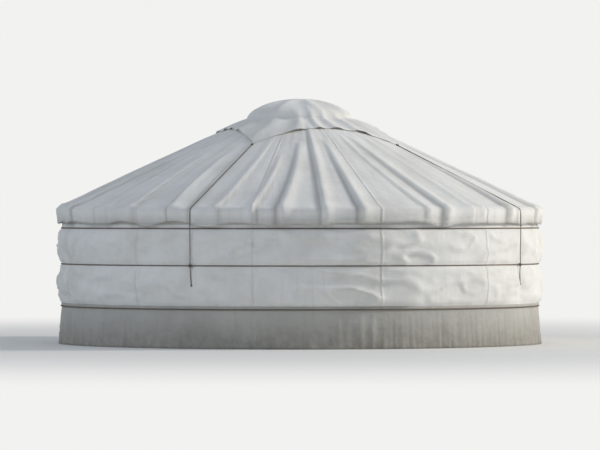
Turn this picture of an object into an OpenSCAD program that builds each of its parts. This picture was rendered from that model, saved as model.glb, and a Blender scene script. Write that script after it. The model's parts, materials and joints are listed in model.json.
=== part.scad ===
// A five-panel felt yurt with a bent-wood crown, wrapped in white canvas.
// The ground is z = 0, the origin is the middle of the floor and the door faces -Y.
// Azimuths are counted from the middle of the door, towards +X.

/* [Lattice wall] */
// Outside diameter of the lattice wall
lattice_d = 5680; // [5300:20:6000]
// Height of the top row of lath crossings, in whose forks the roof poles rest
head_z = 1530; // [1430:10:1600]
// Height of the bottom row of lath crossings
foot_z = 50; // [35:5:80]
// Width of a lath
lath_w = 32; // [26:1:38]
// Thickness of a lath
lath_t = 12; // [9:1:15]
// How far a lath runs past its top crossing
head_len = 60; // [52:1:66]
// Diamonds that a lath passes between its foot and its head
lath_cells = 5; // [4:1:6]

/* [Roof poles] */
// Number of roof poles round the whole yurt
pole_count = 72; // [64:4:80]
// Slope of the roof in degrees
roof_slope = 25.4; // [23:0.2:28]
// Diameter of a pole's shaft
pole_d = 36; // [30:1:40]
// Diameter of a pole where it reaches the crown
pole_tip_d = 27; // [25:1:30]
// Length over which a pole narrows towards the crown
pole_taper = 800; // [400:50:1200]
// Diameter of the tenon on a pole's tip
tenon_d = 20; // [16:1:22]
// Depth of the sockets in the crown ring, along the pole
socket_depth = 42; // [30:1:46]
// How far the pole feet run past the lattice
pole_foot = 20; // [10:1:24]

/* [Crown] */
// Outside diameter of the crown ring
crown_d = 1240; // [1160:10:1320]
// Width of the crown ring, seen from above
rim_w = 65; // [55:1:80]
// Height of the crown ring under the pole axes
rim_below = 55; // [45:1:70]
// How far the crown ring stands above the roof cover
rim_proud = 8; // [5:1:20]
// Rise of the bent spokes above the crown ring
spoke_rise = 240; // [200:5:280]
// Width of a spoke
spoke_w = 42; // [34:1:50]
// Thickness of a spoke
spoke_t = 38; // [30:1:44]
// Outside diameter of the hub ring
hub_d = 380; // [320:5:460]
// Width of the hub ring, seen from above
hub_w = 36; // [28:1:44]

/* [Columns] */
// Width of a column's eight-sided post
post_w = 84; // [70:1:100]
// Width of a column's foot block
post_foot_w = 170; // [140:5:220]
// Height of a column's foot block
post_foot_h = 45; // [30:1:60]
// Length of the bracket on a column, along the crown ring
bracket_l = 320; // [280:5:380]
// Height of the bracket on a column
bracket_h = 120; // [100:5:150]
// Thickness of the bracket on a column
bracket_t = 58; // [44:1:64]

/* [Covers] */
// Thickness of the felt on the wall and the roof
felt_t = 25; // [18:1:32]
// Thickness of the canvas over the felt
canvas_t = 4; // [3:0.5:5]
// How far the wall felt and the canvas outside it reach above the top crossings
wall_over = 15; // [-20:1:18]
// Height of the canvas strip round the foot of the wall
skirt_h = 490; // [420:10:560]
// How far the wall canvas swells between its ropes
swell = 16; // [4:1:20]
// How far the roof felt hangs down past the top crossings
roof_felt_drop = 40; // [20:1:60]
// How far the roof canvas's hem hangs down past the top crossings
hem_drop = 85; // [65:1:100]
// Length of a side of the square crown flap
flap_side = 1800; // [1600:10:2000]
// Thickness of the crown flap
flap_t = 5; // [4:0.5:7]

/* [Ropes] */
// Diameter of the ropes round the wall
girth_d = 16; // [12:1:20]
// How far the upper rope round the wall lies below the top crossings
girth_top_drop = 140; // [125:5:180]
// Height of the middle rope round the wall
girth_mid_z = 960; // [880:10:1040]
// Height of the rope round the foot strip, down from the strip's top edge
skirt_rope_drop = 35; // [20:1:60]
// Diameter of the crown flap's ropes
flap_rope_d = 12; // [9:1:14]
// Diameter of the knots that tie them to the middle rope
knot_d = 26; // [22:1:32]
// Height at which their loose ends stop
tail_z = 720; // [640:10:800]

/* [Door] */
// Width of the door frame
frame_w = 900; // [840:10:960]
// Depth of the door frame, through the wall
frame_depth = 130; // [120:5:160]
// How far the frame stands out past the roof cover
frame_proud = 6; // [2:1:12]
// Width of a jamb
jamb_w = 70; // [60:1:90]
// Height of the lintel
lintel_h = 90; // [70:1:100]
// Height of the threshold
threshold_h = 80; // [60:1:120]
// Width of the bead that the closed leaf stops at
stop_w = 15; // [10:1:20]
// Thickness of the leaf
leaf_t = 35; // [30:1:42]
// Clearance round the leaf
leaf_clear = 5; // [5:0.5:8]
// Width of the leaf's stiles and of its upper rails
stile_w = 95; // [80:1:115]
// Width of the leaf's bottom rail
kick_w = 150; // [120:5:200]
// Thickness of the door panels
panel_t = 14; // [10:1:18]
// How far the door panels reach into their grooves
panel_in = 10; // [6:1:14]
// Diameter of a hinge barrel
barrel_d = 18; // [16:1:20]
// Diameter of a hinge pin
hinge_pin_d = 10; // [8:0.5:11]
// Height of a hinge
hinge_h = 92; // [80:1:120]
// Thickness of the hinge plates
plate_t = 3; // [2:0.5:3.5]
// Width of the hinge plates
plate_w = 46; // [36:1:50]
// Diameter of the handle's bar
handle_d = 16; // [12:1:20]
// Length of the handle
handle_l = 190; // [150:5:240]
// How far the handle stands out from the leaf
handle_out = 46; // [36:1:50]

/* [Hidden] */
// Play between curved faces that lie on each other
gap = 0.3;
// Play of a leaf knuckle round its pin, and between knuckles along it
pin_play = 0.5;
knuckle_play = 1;
// Fragments of the wide circles and of the narrow ones
wide_fn = 240;
thin_fn = 48;
rope_fn = 24;
// Sides of a flap rope, and steps in which it slants across the roof
rope_sides = 12;
slant_steps = 12;
curve_steps = 14;
swell_steps = 8;
over = 50;

pitch = 360 / pole_count;
panels = 5;
lattice_r = lattice_d / 2;
lattice_in = lattice_r - 2 * lath_t;
lath_mid = lattice_r - lath_t;
// The two layers of laths are let into each other by this much where they cross
notch = 1;
lath_span = lath_cells * pitch;
lean = atan((head_z - foot_z) / 2 / (lath_mid * sin(lath_span / 2)));
lath_half = (head_z - foot_z) / 2 / sin(lean);
lath_depth = 2 * (lath_mid * (1 - cos(lath_span / 2)) + 3 * lath_t);
wall_h = head_z + wall_over;
roof_felt_z = head_z - roof_felt_drop;
hem_z = head_z - hem_drop;
girth_top_z = head_z - girth_top_drop;

pole_r = pole_d / 2;
// A straight lath rises by this much more at the lattice's outer face, and its top end is
// seen at this lean from the pole above it
head_rise = (head_z - foot_z) / 2 * lath_t / lath_mid;
head_lean = atan(tan(lean) * cos(lath_span / 2));
// A pole's centre above a crossing, when its side lies in the fork of two laths
fork_z = lath_w / 2 / cos(lean)
    + norm([pole_r * sin(head_lean), pole_r / cos(roof_slope) * cos(head_lean)])
    / cos(head_lean);
seat_z = head_z + head_rise + fork_z + gap;
foot_r = lattice_r + pole_foot;
crown_r = crown_d / 2;

// Height of the poles' axes at radius r, and of a layer that lies d above the axes
function axis_z(r) = seat_z + (lattice_r - r) * tan(roof_slope);
function roof_z(r, d) = axis_z(r) + d / cos(roof_slope);

felt_in = lattice_r + gap;
felt_r = felt_in + felt_t;
wall_in = felt_r + gap;
wall_r = wall_in + canvas_t;
skirt_r = wall_r + gap + canvas_t;
skirt_rope_z = skirt_h - skirt_rope_drop;
// The wall canvas stops short of the ground, behind the foot strip
canvas_lift = 10;

// Layers over the poles, as distances from the poles' axes
roof_felt_in = pole_r + gap;
roof_felt_out = roof_felt_in + felt_t;
cover_in = roof_felt_out + gap;
cover_out = cover_in + canvas_t;
flap_in = cover_out + gap;
flap_out = flap_in + flap_t;
flap_rope_off = cover_out + 2 * gap + flap_rope_d / 2;
// The same layers hang down outside the wall, from a bevelled corner at the eave. Only
// under the felt it is nearly sharp, because the feet of the poles reach into it
eave_bevel = 26;
under_bevel = 1.5;
drop_in = max(wall_r, foot_r + pole_r * sin(roof_slope) + under_bevel) + gap;
function drop_r(d) = drop_in + d - roof_felt_in;
function eave_top(d, bevel = eave_bevel) =
    [drop_r(d) - bevel, roof_z(drop_r(d) - bevel, d)];
function eave_side(d, bevel = eave_bevel) =
    [drop_r(d), roof_z(drop_r(d), d) - bevel / 2];
cover_r = drop_r(cover_out);

crown_z = axis_z(crown_r);
rim_top = roof_z(crown_r, cover_out) + rim_proud;
rim_bottom = crown_z - rim_below;
rim_bevel = 7;
spoke_a = crown_r - rim_bevel - 1;
hub_r = hub_d / 2;
hub_top = rim_top + spoke_rise * sqrt(1 - pow(hub_r / spoke_a, 2)) - gap;
hub_drop = 12;
hub_h = spoke_t + hub_drop;
shoulder_r = crown_r + pole_tip_d / 2 * sin(roof_slope) + gap;
pole_len = (foot_r - shoulder_r) / cos(roof_slope);
socket_len = (shoulder_r - crown_r) / cos(roof_slope) + socket_depth;
flap_half = flap_side / sqrt(2);

frame_face = cover_r + frame_proud;
frame_h = axis_z(foot_r) - pole_r * cos(roof_slope) - gap;
open_w = frame_w - 2 * jamb_w;
open_top = frame_h - lintel_h;
leaf_w = open_w - 2 * leaf_clear;
leaf_z = threshold_h + leaf_clear;
leaf_h = open_top - leaf_clear - leaf_z;
stop_y = -frame_face + leaf_t + leaf_clear;
frame_in = -frame_face + frame_depth;
// The covers are cut back round the frame's head by this much
notch_side = 10;
notch_top = 6;
hinge_x = open_w / 2;
hinge_out = barrel_d / 2 + 1;
hinge_y = -frame_face - hinge_out;
hinge_edge = 8;
hinge_inset = 180;
hinges = [leaf_z + hinge_inset, leaf_z + leaf_h / 2, leaf_z + leaf_h - hinge_inset];
knuckle = (hinge_h - 2 * knuckle_play) / 3;
handle_z = leaf_z + leaf_h / 2;

canvas_white = "#e9e7e0";
canvas_grey = "#c9c6bb";
felt_white = "#d8d2c2";
rope_brown = "#8a7a62";
pale_wood = "#b5793f";
crown_wood = "#a8502a";
door_paint = "#b4502c";
door_panel = "#c46a3a";
iron = "#4a4a4c";

// Turns the +X axis to an azimuth counted from the door
module at(az) { rotate([0, 0, az - 90]) children(); }

// Revolves a profile from one azimuth to another
module sweep(from, to) {
    at(from) rotate_extrude(angle = to - from, $fn = wide_fn) children();
}

// The slot in the wall that the door frame stands in
module door_slot(side, top) {
    translate([-frame_w / 2 - side, -frame_face - over, -over])
        cube([frame_w + 2 * side, frame_depth + 2 * over, over + top]);
}

// One layer of parallel laths between two azimuths, leaning to one side. A lath is left
// out where only its end, past its last crossing, would reach into the panel
module lath_layer(r_in, r_out, from, to, side) {
    first = floor((from - lath_span / 2) / pitch) + 1;
    last = ceil((to + lath_span / 2) / pitch) - 1;
    low = lath_half + foot_z / sin(lean) + lath_w;
    intersection() {
        sweep(from, to)
            translate([r_in, 0]) square([r_out - r_in, head_z + 2 * head_len]);
        for (i = [first:last])
            at(i * pitch) translate([lath_mid, 0, (head_z + foot_z) / 2])
                rotate([side * (90 - lean), 0, 0])
                    translate([-lath_depth / 2, -lath_w / 2, -low])
                        cube([lath_depth, lath_w, low + lath_half + head_len]);
    }
}

// A folding panel of the wall: two layers of laths, pinned where they cross
module lattice(k) {
    from = seam(k) + seam_play;
    to = seam(k + 1) - seam_play;
    color(pale_wood) difference() {
        union() {
            lath_layer(lath_mid - notch / 2, lattice_r, from, to, 1);
            lath_layer(lattice_in, lath_mid + notch / 2, from, to, -1);
        }
        door_slot(gap, 2 * head_z);
    }
}

function door_azimuth(r) = asin(frame_w / 2 / r);
// Half of the play between two pieces of the wall that meet end to end, as an angle
seam_play = asin(gap / 2 / lattice_r);
// The edges of the lattice panels: beside the door frame, or just past a column of
// crossings, where a cut misses the crossings and the ends of the laths
door_edge = door_azimuth(lattice_r) - 2 * seam_play;
seam_past = 0.12;
function seam(k) = k == 0 ? door_edge : k == panels ? 360 - door_edge
    : pitch * (seam_column(k) + (k < panels / 2 ? seam_past : -seam_past));
function seam_column(k) = round((door_edge + k * (360 - 2 * door_edge) / panels) / pitch);

// A roof pole lies from the fork of two laths to its socket in the crown ring
module along_pole(i) {
    at((i + 0.5) * pitch) translate([foot_r, 0, axis_z(foot_r)])
        rotate([0, roof_slope - 90, 0]) children();
}

module pole() {
    rotate_extrude($fn = thin_fn) polygon([
        [0, 0], [pole_r, 0], [pole_r, pole_len - pole_taper],
        [pole_tip_d / 2, pole_len], [tenon_d / 2, pole_len],
        [tenon_d / 2, pole_len + socket_len - gap], [0, pole_len + socket_len - gap]]);
}

// A quarter of the poles, counted on from one beside a quarter's edge
module poles(quarter) {
    first = round((quarter - 0.5) * pole_count / 4);
    color(pale_wood) for (i = [first:first + pole_count / 4 - 1]) along_pole(i) pole();
}

module crown_ring() {
    in = crown_r - rim_w;
    b = rim_bevel;
    color(crown_wood) difference() {
        rotate_extrude($fn = wide_fn) polygon([
            [in + b, rim_bottom], [crown_r - b, rim_bottom], [crown_r, rim_bottom + b],
            [crown_r, rim_top - b], [crown_r - b, rim_top], [in + b, rim_top],
            [in, rim_top - b], [in, rim_bottom + b]]);
        for (i = [0:pole_count - 1]) along_pole(i) translate([0, 0, pole_len - over / 2])
            cylinder(d = tenon_d + 2 * gap, h = socket_len + over / 2, $fn = thin_fn);
    }
}

// A quarter of an ellipse over the crown ring, from its top down to the ring
function dome(a, b) = [for (i = [0:curve_steps])
    [a * sin(90 * i / curve_steps), rim_top + b * cos(90 * i / curve_steps)]];
function reverse(p) = [for (i = [len(p) - 1:-1:0]) p[i]];

// Eight bent spokes stand on the ring and lean together on the hub
module crown_spokes() {
    color(crown_wood) difference() {
        intersection() {
            rotate_extrude($fn = wide_fn) polygon(concat(
                dome(spoke_a, spoke_rise),
                reverse(dome(spoke_a - spoke_t, spoke_rise - spoke_t))));
            for (a = [0:45:135]) rotate([0, 0, a]) translate([-crown_r, -spoke_w / 2, 0])
                cube([crown_d, spoke_w, rim_top + 2 * spoke_rise]);
        }
        cylinder(r = hub_r + gap, h = rim_top + 2 * spoke_rise, $fn = wide_fn);
    }
}

module crown_hub() {
    color(crown_wood) translate([0, 0, hub_top - hub_h]) {
        difference() {
            cylinder(r = hub_r, h = hub_h, $fn = wide_fn);
            translate([0, 0, -1]) cylinder(r = hub_r - hub_w, h = hub_h + 2, $fn = wide_fn);
        }
        for (a = [0, 90]) rotate([0, 0, a])
            translate([1 - hub_r, -hub_w / 2, hub_drop / 2])
                cube([hub_d - 2, hub_w, hub_h - hub_drop]);
    }
}

// A column under the crown ring, with a bracket whose lower corners are scooped out
module column(side) {
    x = side * (crown_r - rim_w / 2);
    scoop = bracket_h - 25;
    top = rim_bottom - bracket_h;
    color(crown_wood) translate([x, 0, 0]) {
        translate([-post_foot_w / 2, -post_foot_w / 2, 0])
            cube([post_foot_w, post_foot_w, post_foot_h]);
        rotate([0, 0, 22.5]) cylinder(d = post_w, h = top + 1, $fn = 8);
        translate([-bracket_t / 2, 0, top]) rotate([90, 0, 90])
            linear_extrude(bracket_t) difference() {
                translate([-bracket_l / 2, 0]) square([bracket_l, bracket_h]);
                for (s = [-1, 1]) translate([s * bracket_l / 2, 0])
                    circle(r = scoop, $fn = thin_fn);
            }
    }
}

// One of the strips of felt that wrap the wall, cut off at the door frame
module wall_felt(k) {
    color(felt_white) difference() {
        sweep(felt_seam(k) + seam_play, felt_seam(k + 1) - seam_play)
            translate([felt_in, 0]) square([felt_t, wall_h]);
        door_slot(gap, 2 * wall_h);
    }
}
wall_felts = 4;
function felt_seam(k) = door_edge + k * (360 - 2 * door_edge) / wall_felts;

// The wall canvas is drawn in at each rope and swells between them
function wall_line(r) = concat([[r, canvas_lift]],
    [for (i = [0:swell_steps]) [r + swell * sin(180 * i / swell_steps),
        skirt_h + (girth_mid_z - skirt_h) * i / swell_steps]],
    [for (i = [1:swell_steps]) [r + swell * sin(180 * i / swell_steps),
        girth_mid_z + (girth_top_z - girth_mid_z) * i / swell_steps]],
    [[r, wall_h]]);

module wall_canvas() {
    color(canvas_white) difference() {
        rotate_extrude($fn = wide_fn)
            polygon(concat(wall_line(wall_r), reverse(wall_line(wall_in))));
        door_slot(gap, 2 * wall_h);
    }
}

module foot_strip() {
    color(canvas_grey) difference() {
        rotate_extrude($fn = wide_fn)
            translate([wall_r + gap, 0]) square([canvas_t, skirt_h]);
        door_slot(gap, 2 * wall_h);
    }
}

// A layer of the roof runs down from the crown ring, over the eave and down outside
// the wall to its lower edge
function roof_line(d, low, bevel) = [
    [crown_r + 2 * gap, roof_z(crown_r + 2 * gap, d)],
    eave_top(d, bevel), eave_side(d, bevel), [drop_r(d), low]];
module roof_layer(d_in, d_out, low, bevel_in) {
    polygon(concat(roof_line(d_out, low, eave_bevel),
        reverse(roof_line(d_in, low, bevel_in))));
}

// A quarter of the roof felt
module roof_felt(quarter) {
    color(felt_white) difference() {
        sweep(90 * quarter + seam_play, 90 * (quarter + 1) - seam_play)
            roof_layer(roof_felt_in, roof_felt_out, roof_felt_z, under_bevel);
        door_slot(notch_side, frame_h + notch_top);
    }
}

module roof_canvas() {
    color(canvas_white) difference() {
        rotate_extrude($fn = wide_fn) roof_layer(cover_in, cover_out, hem_z, eave_bevel);
        door_slot(notch_side, frame_h + notch_top);
    }
}

// The flap is a square of cloth over the crown, its corners over the door, the back
// and the two sides
module crown_flap() {
    a = crown_r + gap;
    b = spoke_rise + gap;
    end = flap_half + over;
    color(canvas_white) intersection() {
        rotate_extrude($fn = wide_fn) polygon(concat(
            dome(a + flap_t, b + flap_t),
            [[a + flap_t, roof_z(a + flap_t, flap_out)], [end, roof_z(end, flap_out)],
                [end, roof_z(end, flap_in)], [a, roof_z(a, flap_in)]],
            reverse(dome(a, b))));
        rotate([0, 0, 45]) translate([-flap_side / 2, -flap_side / 2, 0])
            cube([flap_side, flap_side, 2 * rim_top]);
    }
}

// A taut rope round the wall, from one side of the door frame to the other
module girth_rope(r, z) {
    color(rope_brown) difference() {
        rotate_extrude($fn = wide_fn)
            translate([r + gap + girth_d / 2, z]) circle(d = girth_d, $fn = rope_fn);
        door_slot(gap, 2 * wall_h);
    }
}

// A rope through points given as azimuth, radius and height. At each point it has one
// ring of corners, square to the rope there
function place(p) = [p[1] * sin(p[0]), -p[1] * cos(p[0]), p[2]];
function unit(v) = v / norm(v);
function rope_ring(path, i, az) =
    let (last = len(path) - 1,
        before = path[max(i, 1)] - path[max(i, 1) - 1],
        after = path[min(i, last - 1) + 1] - path[min(i, last - 1)],
        along = unit(before) + unit(after),
        up = unit(cross([cos(az), sin(az), 0], along)),
        side = unit(cross(along, up)))
    [for (k = [0:rope_sides - 1]) let (a = 360 * k / rope_sides)
        path[i] + flap_rope_d / 2 * (cos(a) * side + sin(a) * up)];
module rope_run(points) {
    n = rope_sides;
    last = len(points) - 1;
    path = [for (p = points) place(p)];
    polyhedron(
        [for (i = [0:last]) each rope_ring(path, i, points[i][0])],
        concat([[for (k = [n - 1:-1:0]) k]], [[for (k = [0:n - 1]) last * n + k]],
            [for (i = [0:last - 1]) for (k = [0:n - 1]) each
                [[i * n + k, i * n + (k + 1) % n, (i + 1) * n + k],
                    [i * n + (k + 1) % n, (i + 1) * n + (k + 1) % n, (i + 1) * n + k]]]));
}

// A flap rope runs down the roof from a corner of the flap, turns over the eave and is
// knotted to the middle rope of the wall. The front one slants to pass beside the door
module flap_rope(az, slant) {
    steps = slant == 0 ? 1 : slant_steps;
    end = az + slant;
    start_r = flap_half + flap_rope_d / 2 * sin(roof_slope) + 2 * gap;
    top = eave_top(flap_rope_off);
    side = eave_side(flap_rope_off);
    knot_r = wall_r + gap + girth_d + gap + knot_d / 2;
    tail_r = wall_r + swell + gap + flap_rope_d / 2;
    color(rope_brown) {
        rope_run(concat(
            [for (i = [0:steps]) let (r = start_r + (top[0] - start_r) * i / steps)
                [az + slant * i / steps, r, roof_z(r, flap_rope_off)]],
            [concat(end, side), [end, side[0], hem_z], [end, knot_r, girth_mid_z],
                [end, tail_r, tail_z]]));
        translate(place([end, knot_r, girth_mid_z])) sphere(d = knot_d, $fn = rope_fn);
    }
}
rope_slant = door_azimuth(cover_r) + 3;

module jamb(side) {
    color(door_paint) linear_extrude(open_top) scale_x(side) polygon([
        [open_w / 2, -frame_face], [frame_w / 2, -frame_face], [frame_w / 2, frame_in],
        [open_w / 2 - stop_w, frame_in], [open_w / 2 - stop_w, stop_y],
        [open_w / 2, stop_y]]);
}
module scale_x(side) { mirror([side < 0 ? 1 : 0, 0, 0]) children(); }

module lintel() {
    color(door_paint) {
        translate([-frame_w / 2, -frame_face, open_top])
            cube([frame_w, frame_depth, lintel_h]);
        translate([stop_w - open_w / 2, stop_y, open_top - stop_w])
            cube([open_w - 2 * stop_w, frame_in - stop_y, 2 * stop_w]);
    }
}

module threshold() {
    color(door_paint) {
        translate([-open_w / 2, -frame_face, 0])
            cube([open_w, stop_y + frame_face, threshold_h]);
        translate([stop_w - open_w / 2, stop_y - 1, 0])
            cube([open_w - 2 * stop_w, frame_in - stop_y + 1, threshold_h]);
        translate([stop_w - open_w / 2, stop_y, 0])
            cube([open_w - 2 * stop_w, frame_in - stop_y, threshold_h + stop_w]);
    }
}

// Places one knuckle of a hinge: 0 is the lowest of three
module knuckle_at(z, k) {
    translate([hinge_x, hinge_y, z - hinge_h / 2 + k * (knuckle + knuckle_play)])
        children();
}

// A plate screwed to a face, from the edge of the leaf or of the jamb outwards
module hinge_plate(z, side) {
    translate([side > 0 ? hinge_x + hinge_edge : hinge_x - hinge_edge - plate_w,
        -frame_face - plate_t, z - hinge_h / 2]) cube([plate_w, plate_t, hinge_h]);
}

// The tongue that joins a knuckle to its plate
module hinge_tongue(side) {
    translate([side > 0 ? 0 : -hinge_edge - 1, hinge_out - plate_t, 0])
        cube([hinge_edge + 1, plate_t, knuckle]);
}

module hinge_frame_plates() {
    color(iron) for (z = hinges) {
        hinge_plate(z, 1);
        knuckle_at(z, 0) cylinder(d = hinge_pin_d, h = hinge_h, $fn = thin_fn);
        for (k = [0, 2]) knuckle_at(z, k) {
            cylinder(d = barrel_d, h = knuckle, $fn = thin_fn);
            hinge_tongue(1);
        }
    }
}

module hinge_leaf_plates() {
    color(iron) for (z = hinges) {
        hinge_plate(z, -1);
        knuckle_at(z, 1) difference() {
            union() {
                cylinder(d = barrel_d, h = knuckle, $fn = thin_fn);
                hinge_tongue(-1);
            }
            translate([0, 0, -1])
                cylinder(d = hinge_pin_d + 2 * pin_play, h = knuckle + 2, $fn = thin_fn);
        }
    }
}

// The two panel openings of the leaf, as lower edges and heights
panel_h = (leaf_h - kick_w - 2 * stile_w) / 2;
panel_feet = [leaf_z + kick_w, leaf_z + kick_w + panel_h + stile_w];

// A slab in a panel opening, grown by an amount on its four sides
module in_panels(grow, thickness) {
    for (z = panel_feet)
        translate([stile_w - leaf_w / 2 - grow,
            leaf_t / 2 - frame_face - thickness / 2, z - grow])
            cube([leaf_w - 2 * stile_w + 2 * grow, thickness, panel_h + 2 * grow]);
}

module door_frame_of_leaf() {
    color(door_paint) difference() {
        translate([-leaf_w / 2, -frame_face, leaf_z]) cube([leaf_w, leaf_t, leaf_h]);
        in_panels(0, 2 * leaf_t);
        in_panels(panel_in, panel_t);
    }
}

module door_panels() {
    color(door_panel) in_panels(panel_in - gap, panel_t - 2 * gap);
}

module door_handle() {
    color(iron) translate([stile_w / 2 - leaf_w / 2, -frame_face, handle_z]) {
        for (s = [-1, 1]) translate([0, 0, s * (handle_l / 2 - handle_d)])
            rotate([90, 0, 0]) {
                cylinder(d = handle_d, h = handle_out - handle_d / 2, $fn = thin_fn);
                cylinder(d = 2 * handle_d, h = plate_t, $fn = thin_fn);
            }
        translate([0, handle_d / 2 - handle_out, -handle_l / 2])
            cylinder(d = handle_d * 1.05, h = handle_l, $fn = thin_fn);
    }
}

lattice(0);  // lattice_front_right
lattice(1);  // lattice_right
lattice(2);  // lattice_back
lattice(3);  // lattice_left
lattice(4);  // lattice_front_left
poles(0);  // poles_front
poles(1);  // poles_right
poles(2);  // poles_back
poles(3);  // poles_left
crown_ring();
crown_spokes();
crown_hub();
column(1);  // column_right
column(-1);  // column_left
wall_felt(0);  // wall_felt_front_right
wall_felt(1);  // wall_felt_back_right
wall_felt(2);  // wall_felt_back_left
wall_felt(3);  // wall_felt_front_left
roof_felt(0);  // roof_felt_front_right
roof_felt(1);  // roof_felt_back_right
roof_felt(2);  // roof_felt_back_left
roof_felt(3);  // roof_felt_front_left
wall_canvas();
foot_strip();
roof_canvas();
crown_flap();
girth_rope(wall_r, girth_top_z);  // girth_rope_top
girth_rope(wall_r, girth_mid_z);  // girth_rope_middle
girth_rope(skirt_r, skirt_rope_z);  // girth_rope_foot
flap_rope(90, 0);  // flap_rope_right
flap_rope(180, 0);  // flap_rope_back
flap_rope(270, 0);  // flap_rope_left
flap_rope(0, rope_slant);  // flap_rope_front
jamb(1);  // jamb_right
jamb(-1);  // jamb_left
lintel();
threshold();
hinge_frame_plates();
door_frame_of_leaf();
door_panels();
hinge_leaf_plates();
door_handle();
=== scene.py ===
# %% [markdown]
# # A felt yurt in its white covers
# A yurt is a folding lattice wall under a roof of poles, wrapped in felt and then in cotton
# canvas, and held together by ropes. The frame holds its carpentry at real size. This lesson
# dresses it: first the camera and the light, then the finishes, then each cloth, rope and
# small fitting as a piece of its own, each in the place that the frame gives it.

# %% Load the frame
import json
import math
import random

import bmesh
import bpy
import numpy as np
from mathutils import Matrix, Vector, noise

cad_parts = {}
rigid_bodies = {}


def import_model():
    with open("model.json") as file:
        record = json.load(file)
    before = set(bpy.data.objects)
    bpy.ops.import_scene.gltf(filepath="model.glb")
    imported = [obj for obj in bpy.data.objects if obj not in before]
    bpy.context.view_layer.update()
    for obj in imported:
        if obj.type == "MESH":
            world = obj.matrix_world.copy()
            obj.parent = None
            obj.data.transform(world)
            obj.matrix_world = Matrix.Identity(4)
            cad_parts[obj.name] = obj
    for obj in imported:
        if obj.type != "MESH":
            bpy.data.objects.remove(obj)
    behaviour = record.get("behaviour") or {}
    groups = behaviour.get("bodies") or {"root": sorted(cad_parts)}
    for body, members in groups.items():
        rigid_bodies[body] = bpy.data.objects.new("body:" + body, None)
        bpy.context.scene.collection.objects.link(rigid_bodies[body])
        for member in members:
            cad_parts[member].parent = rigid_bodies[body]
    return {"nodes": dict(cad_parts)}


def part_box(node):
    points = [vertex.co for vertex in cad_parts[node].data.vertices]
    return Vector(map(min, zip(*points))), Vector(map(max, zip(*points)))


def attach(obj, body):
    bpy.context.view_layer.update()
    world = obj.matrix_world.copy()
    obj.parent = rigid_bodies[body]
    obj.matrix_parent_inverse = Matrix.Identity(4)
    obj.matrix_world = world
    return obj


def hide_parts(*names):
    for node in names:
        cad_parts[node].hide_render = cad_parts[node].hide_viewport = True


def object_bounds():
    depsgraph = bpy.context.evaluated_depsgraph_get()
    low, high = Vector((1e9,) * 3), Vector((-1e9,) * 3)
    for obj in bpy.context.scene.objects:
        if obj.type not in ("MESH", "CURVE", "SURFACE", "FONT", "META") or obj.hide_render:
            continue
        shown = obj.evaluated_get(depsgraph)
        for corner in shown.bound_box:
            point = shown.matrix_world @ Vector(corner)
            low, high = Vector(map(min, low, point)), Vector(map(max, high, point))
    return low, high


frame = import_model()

cad_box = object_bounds()
print("nodes", len(frame["nodes"]), "box", [round(x, 3) for p in cad_box for x in p])

# %% [markdown]
# ## Where things are
# A round building is easiest to describe by azimuth, radius and height. Azimuth 0 is the
# middle of the door and grows towards +X. Turned nodes such as the roof canvas are read
# back as a few (radius, height) points, so every cloth starts on the surface of its solid.
# Layers that lie on each other keep 0.3 mm of play in the frame, and the pieces keep it too.

# %% Azimuth, radius and height
def place(az, r, z):
    """The point at an azimuth in degrees, a radius and a height."""
    a = math.radians(az)
    return Vector((r * math.sin(a), -r * math.cos(a), z))


def polar(points):
    """Azimuths, radii and heights of many points, as three arrays."""
    co = np.array([p[:] for p in points])
    return np.degrees(np.arctan2(co[:, 0], -co[:, 1])), np.hypot(co[:, 0], co[:, 1]), co[:, 2]


def turned_by(az, centre):
    """How far azimuths lie from a centre, from -180 to 180 degrees."""
    return (az - centre + 180) % 360 - 180


print("azimuth 180, the back, lies towards", [round(x) for x in place(180, 1, 0)])

# %% Read the roof's corners
EAVE_TURN = 0.03
MM = 0.001


def outline(node):
    """The (radius, height) points of a turned node, read from its back half."""
    points = [v.co for v in frame["nodes"][node].data.vertices if v.co.y > 0]
    return sorted({(round(math.hypot(p.x, p.y), 4), round(p.z, 4)) for p in points})


def roof_corners(node):
    """A roof layer's corners outside: crown edge, eave, where the eave has turned, and hem."""
    line = outline(node)
    outer = max(r for r, z in line)
    crown_edge = max(line, key=lambda p: p[1])
    eave = max((p for p in line if p[0] > outer - EAVE_TURN), key=lambda p: p[1])
    side_z = max(z for r, z in line if r > outer - MM)
    return crown_edge, eave, (outer, side_z), (outer, min(z for r, z in line))


CROWN_EDGE, EAVE, EAVE_SIDE, HEM = roof_corners("roof_canvas")
COVER_R, DROP_Z = EAVE_SIDE
HEM_Z = HEM[1]
SLOPE = math.atan2(CROWN_EDGE[1] - EAVE[1], EAVE[0] - CROWN_EDGE[0])
print(f"roof slopes {math.degrees(SLOPE):.1f} degrees from {CROWN_EDGE} to {EAVE}, hem {HEM_Z}")

# %% Measure wall, ropes, crown and door
PLAY = 0.0003
girth_low, girth_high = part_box("girth_rope_top")
GIRTH_D = girth_high.z - girth_low.z
WALL_R = girth_high.y - GIRTH_D - PLAY
STRIP_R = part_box("foot_strip")[1].y
STRIP_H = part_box("foot_strip")[1].z
CANVAS_T = STRIP_R - WALL_R - PLAY
WALL_LOW, WALL_TOP = (p.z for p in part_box("wall_canvas"))
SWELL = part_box("wall_canvas")[1].y - WALL_R
GIRTH_Z = {name: sum(p.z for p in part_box("girth_rope_" + name)) / 2
           for name in ("top", "middle", "foot")}
CROWN_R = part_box("crown_ring")[1].x
RIM_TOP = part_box("crown_ring")[1].z
FLAP_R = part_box("crown_flap")[1].x
FLAP_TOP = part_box("crown_flap")[1].z
FRAME_W = 2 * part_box("lintel")[1].x
FRAME_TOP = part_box("lintel")[1].z
print(f"wall radius {WALL_R:.4f}, canvas {CANVAS_T / MM:.1f} mm, flap out to {FLAP_R:.3f}")
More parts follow.
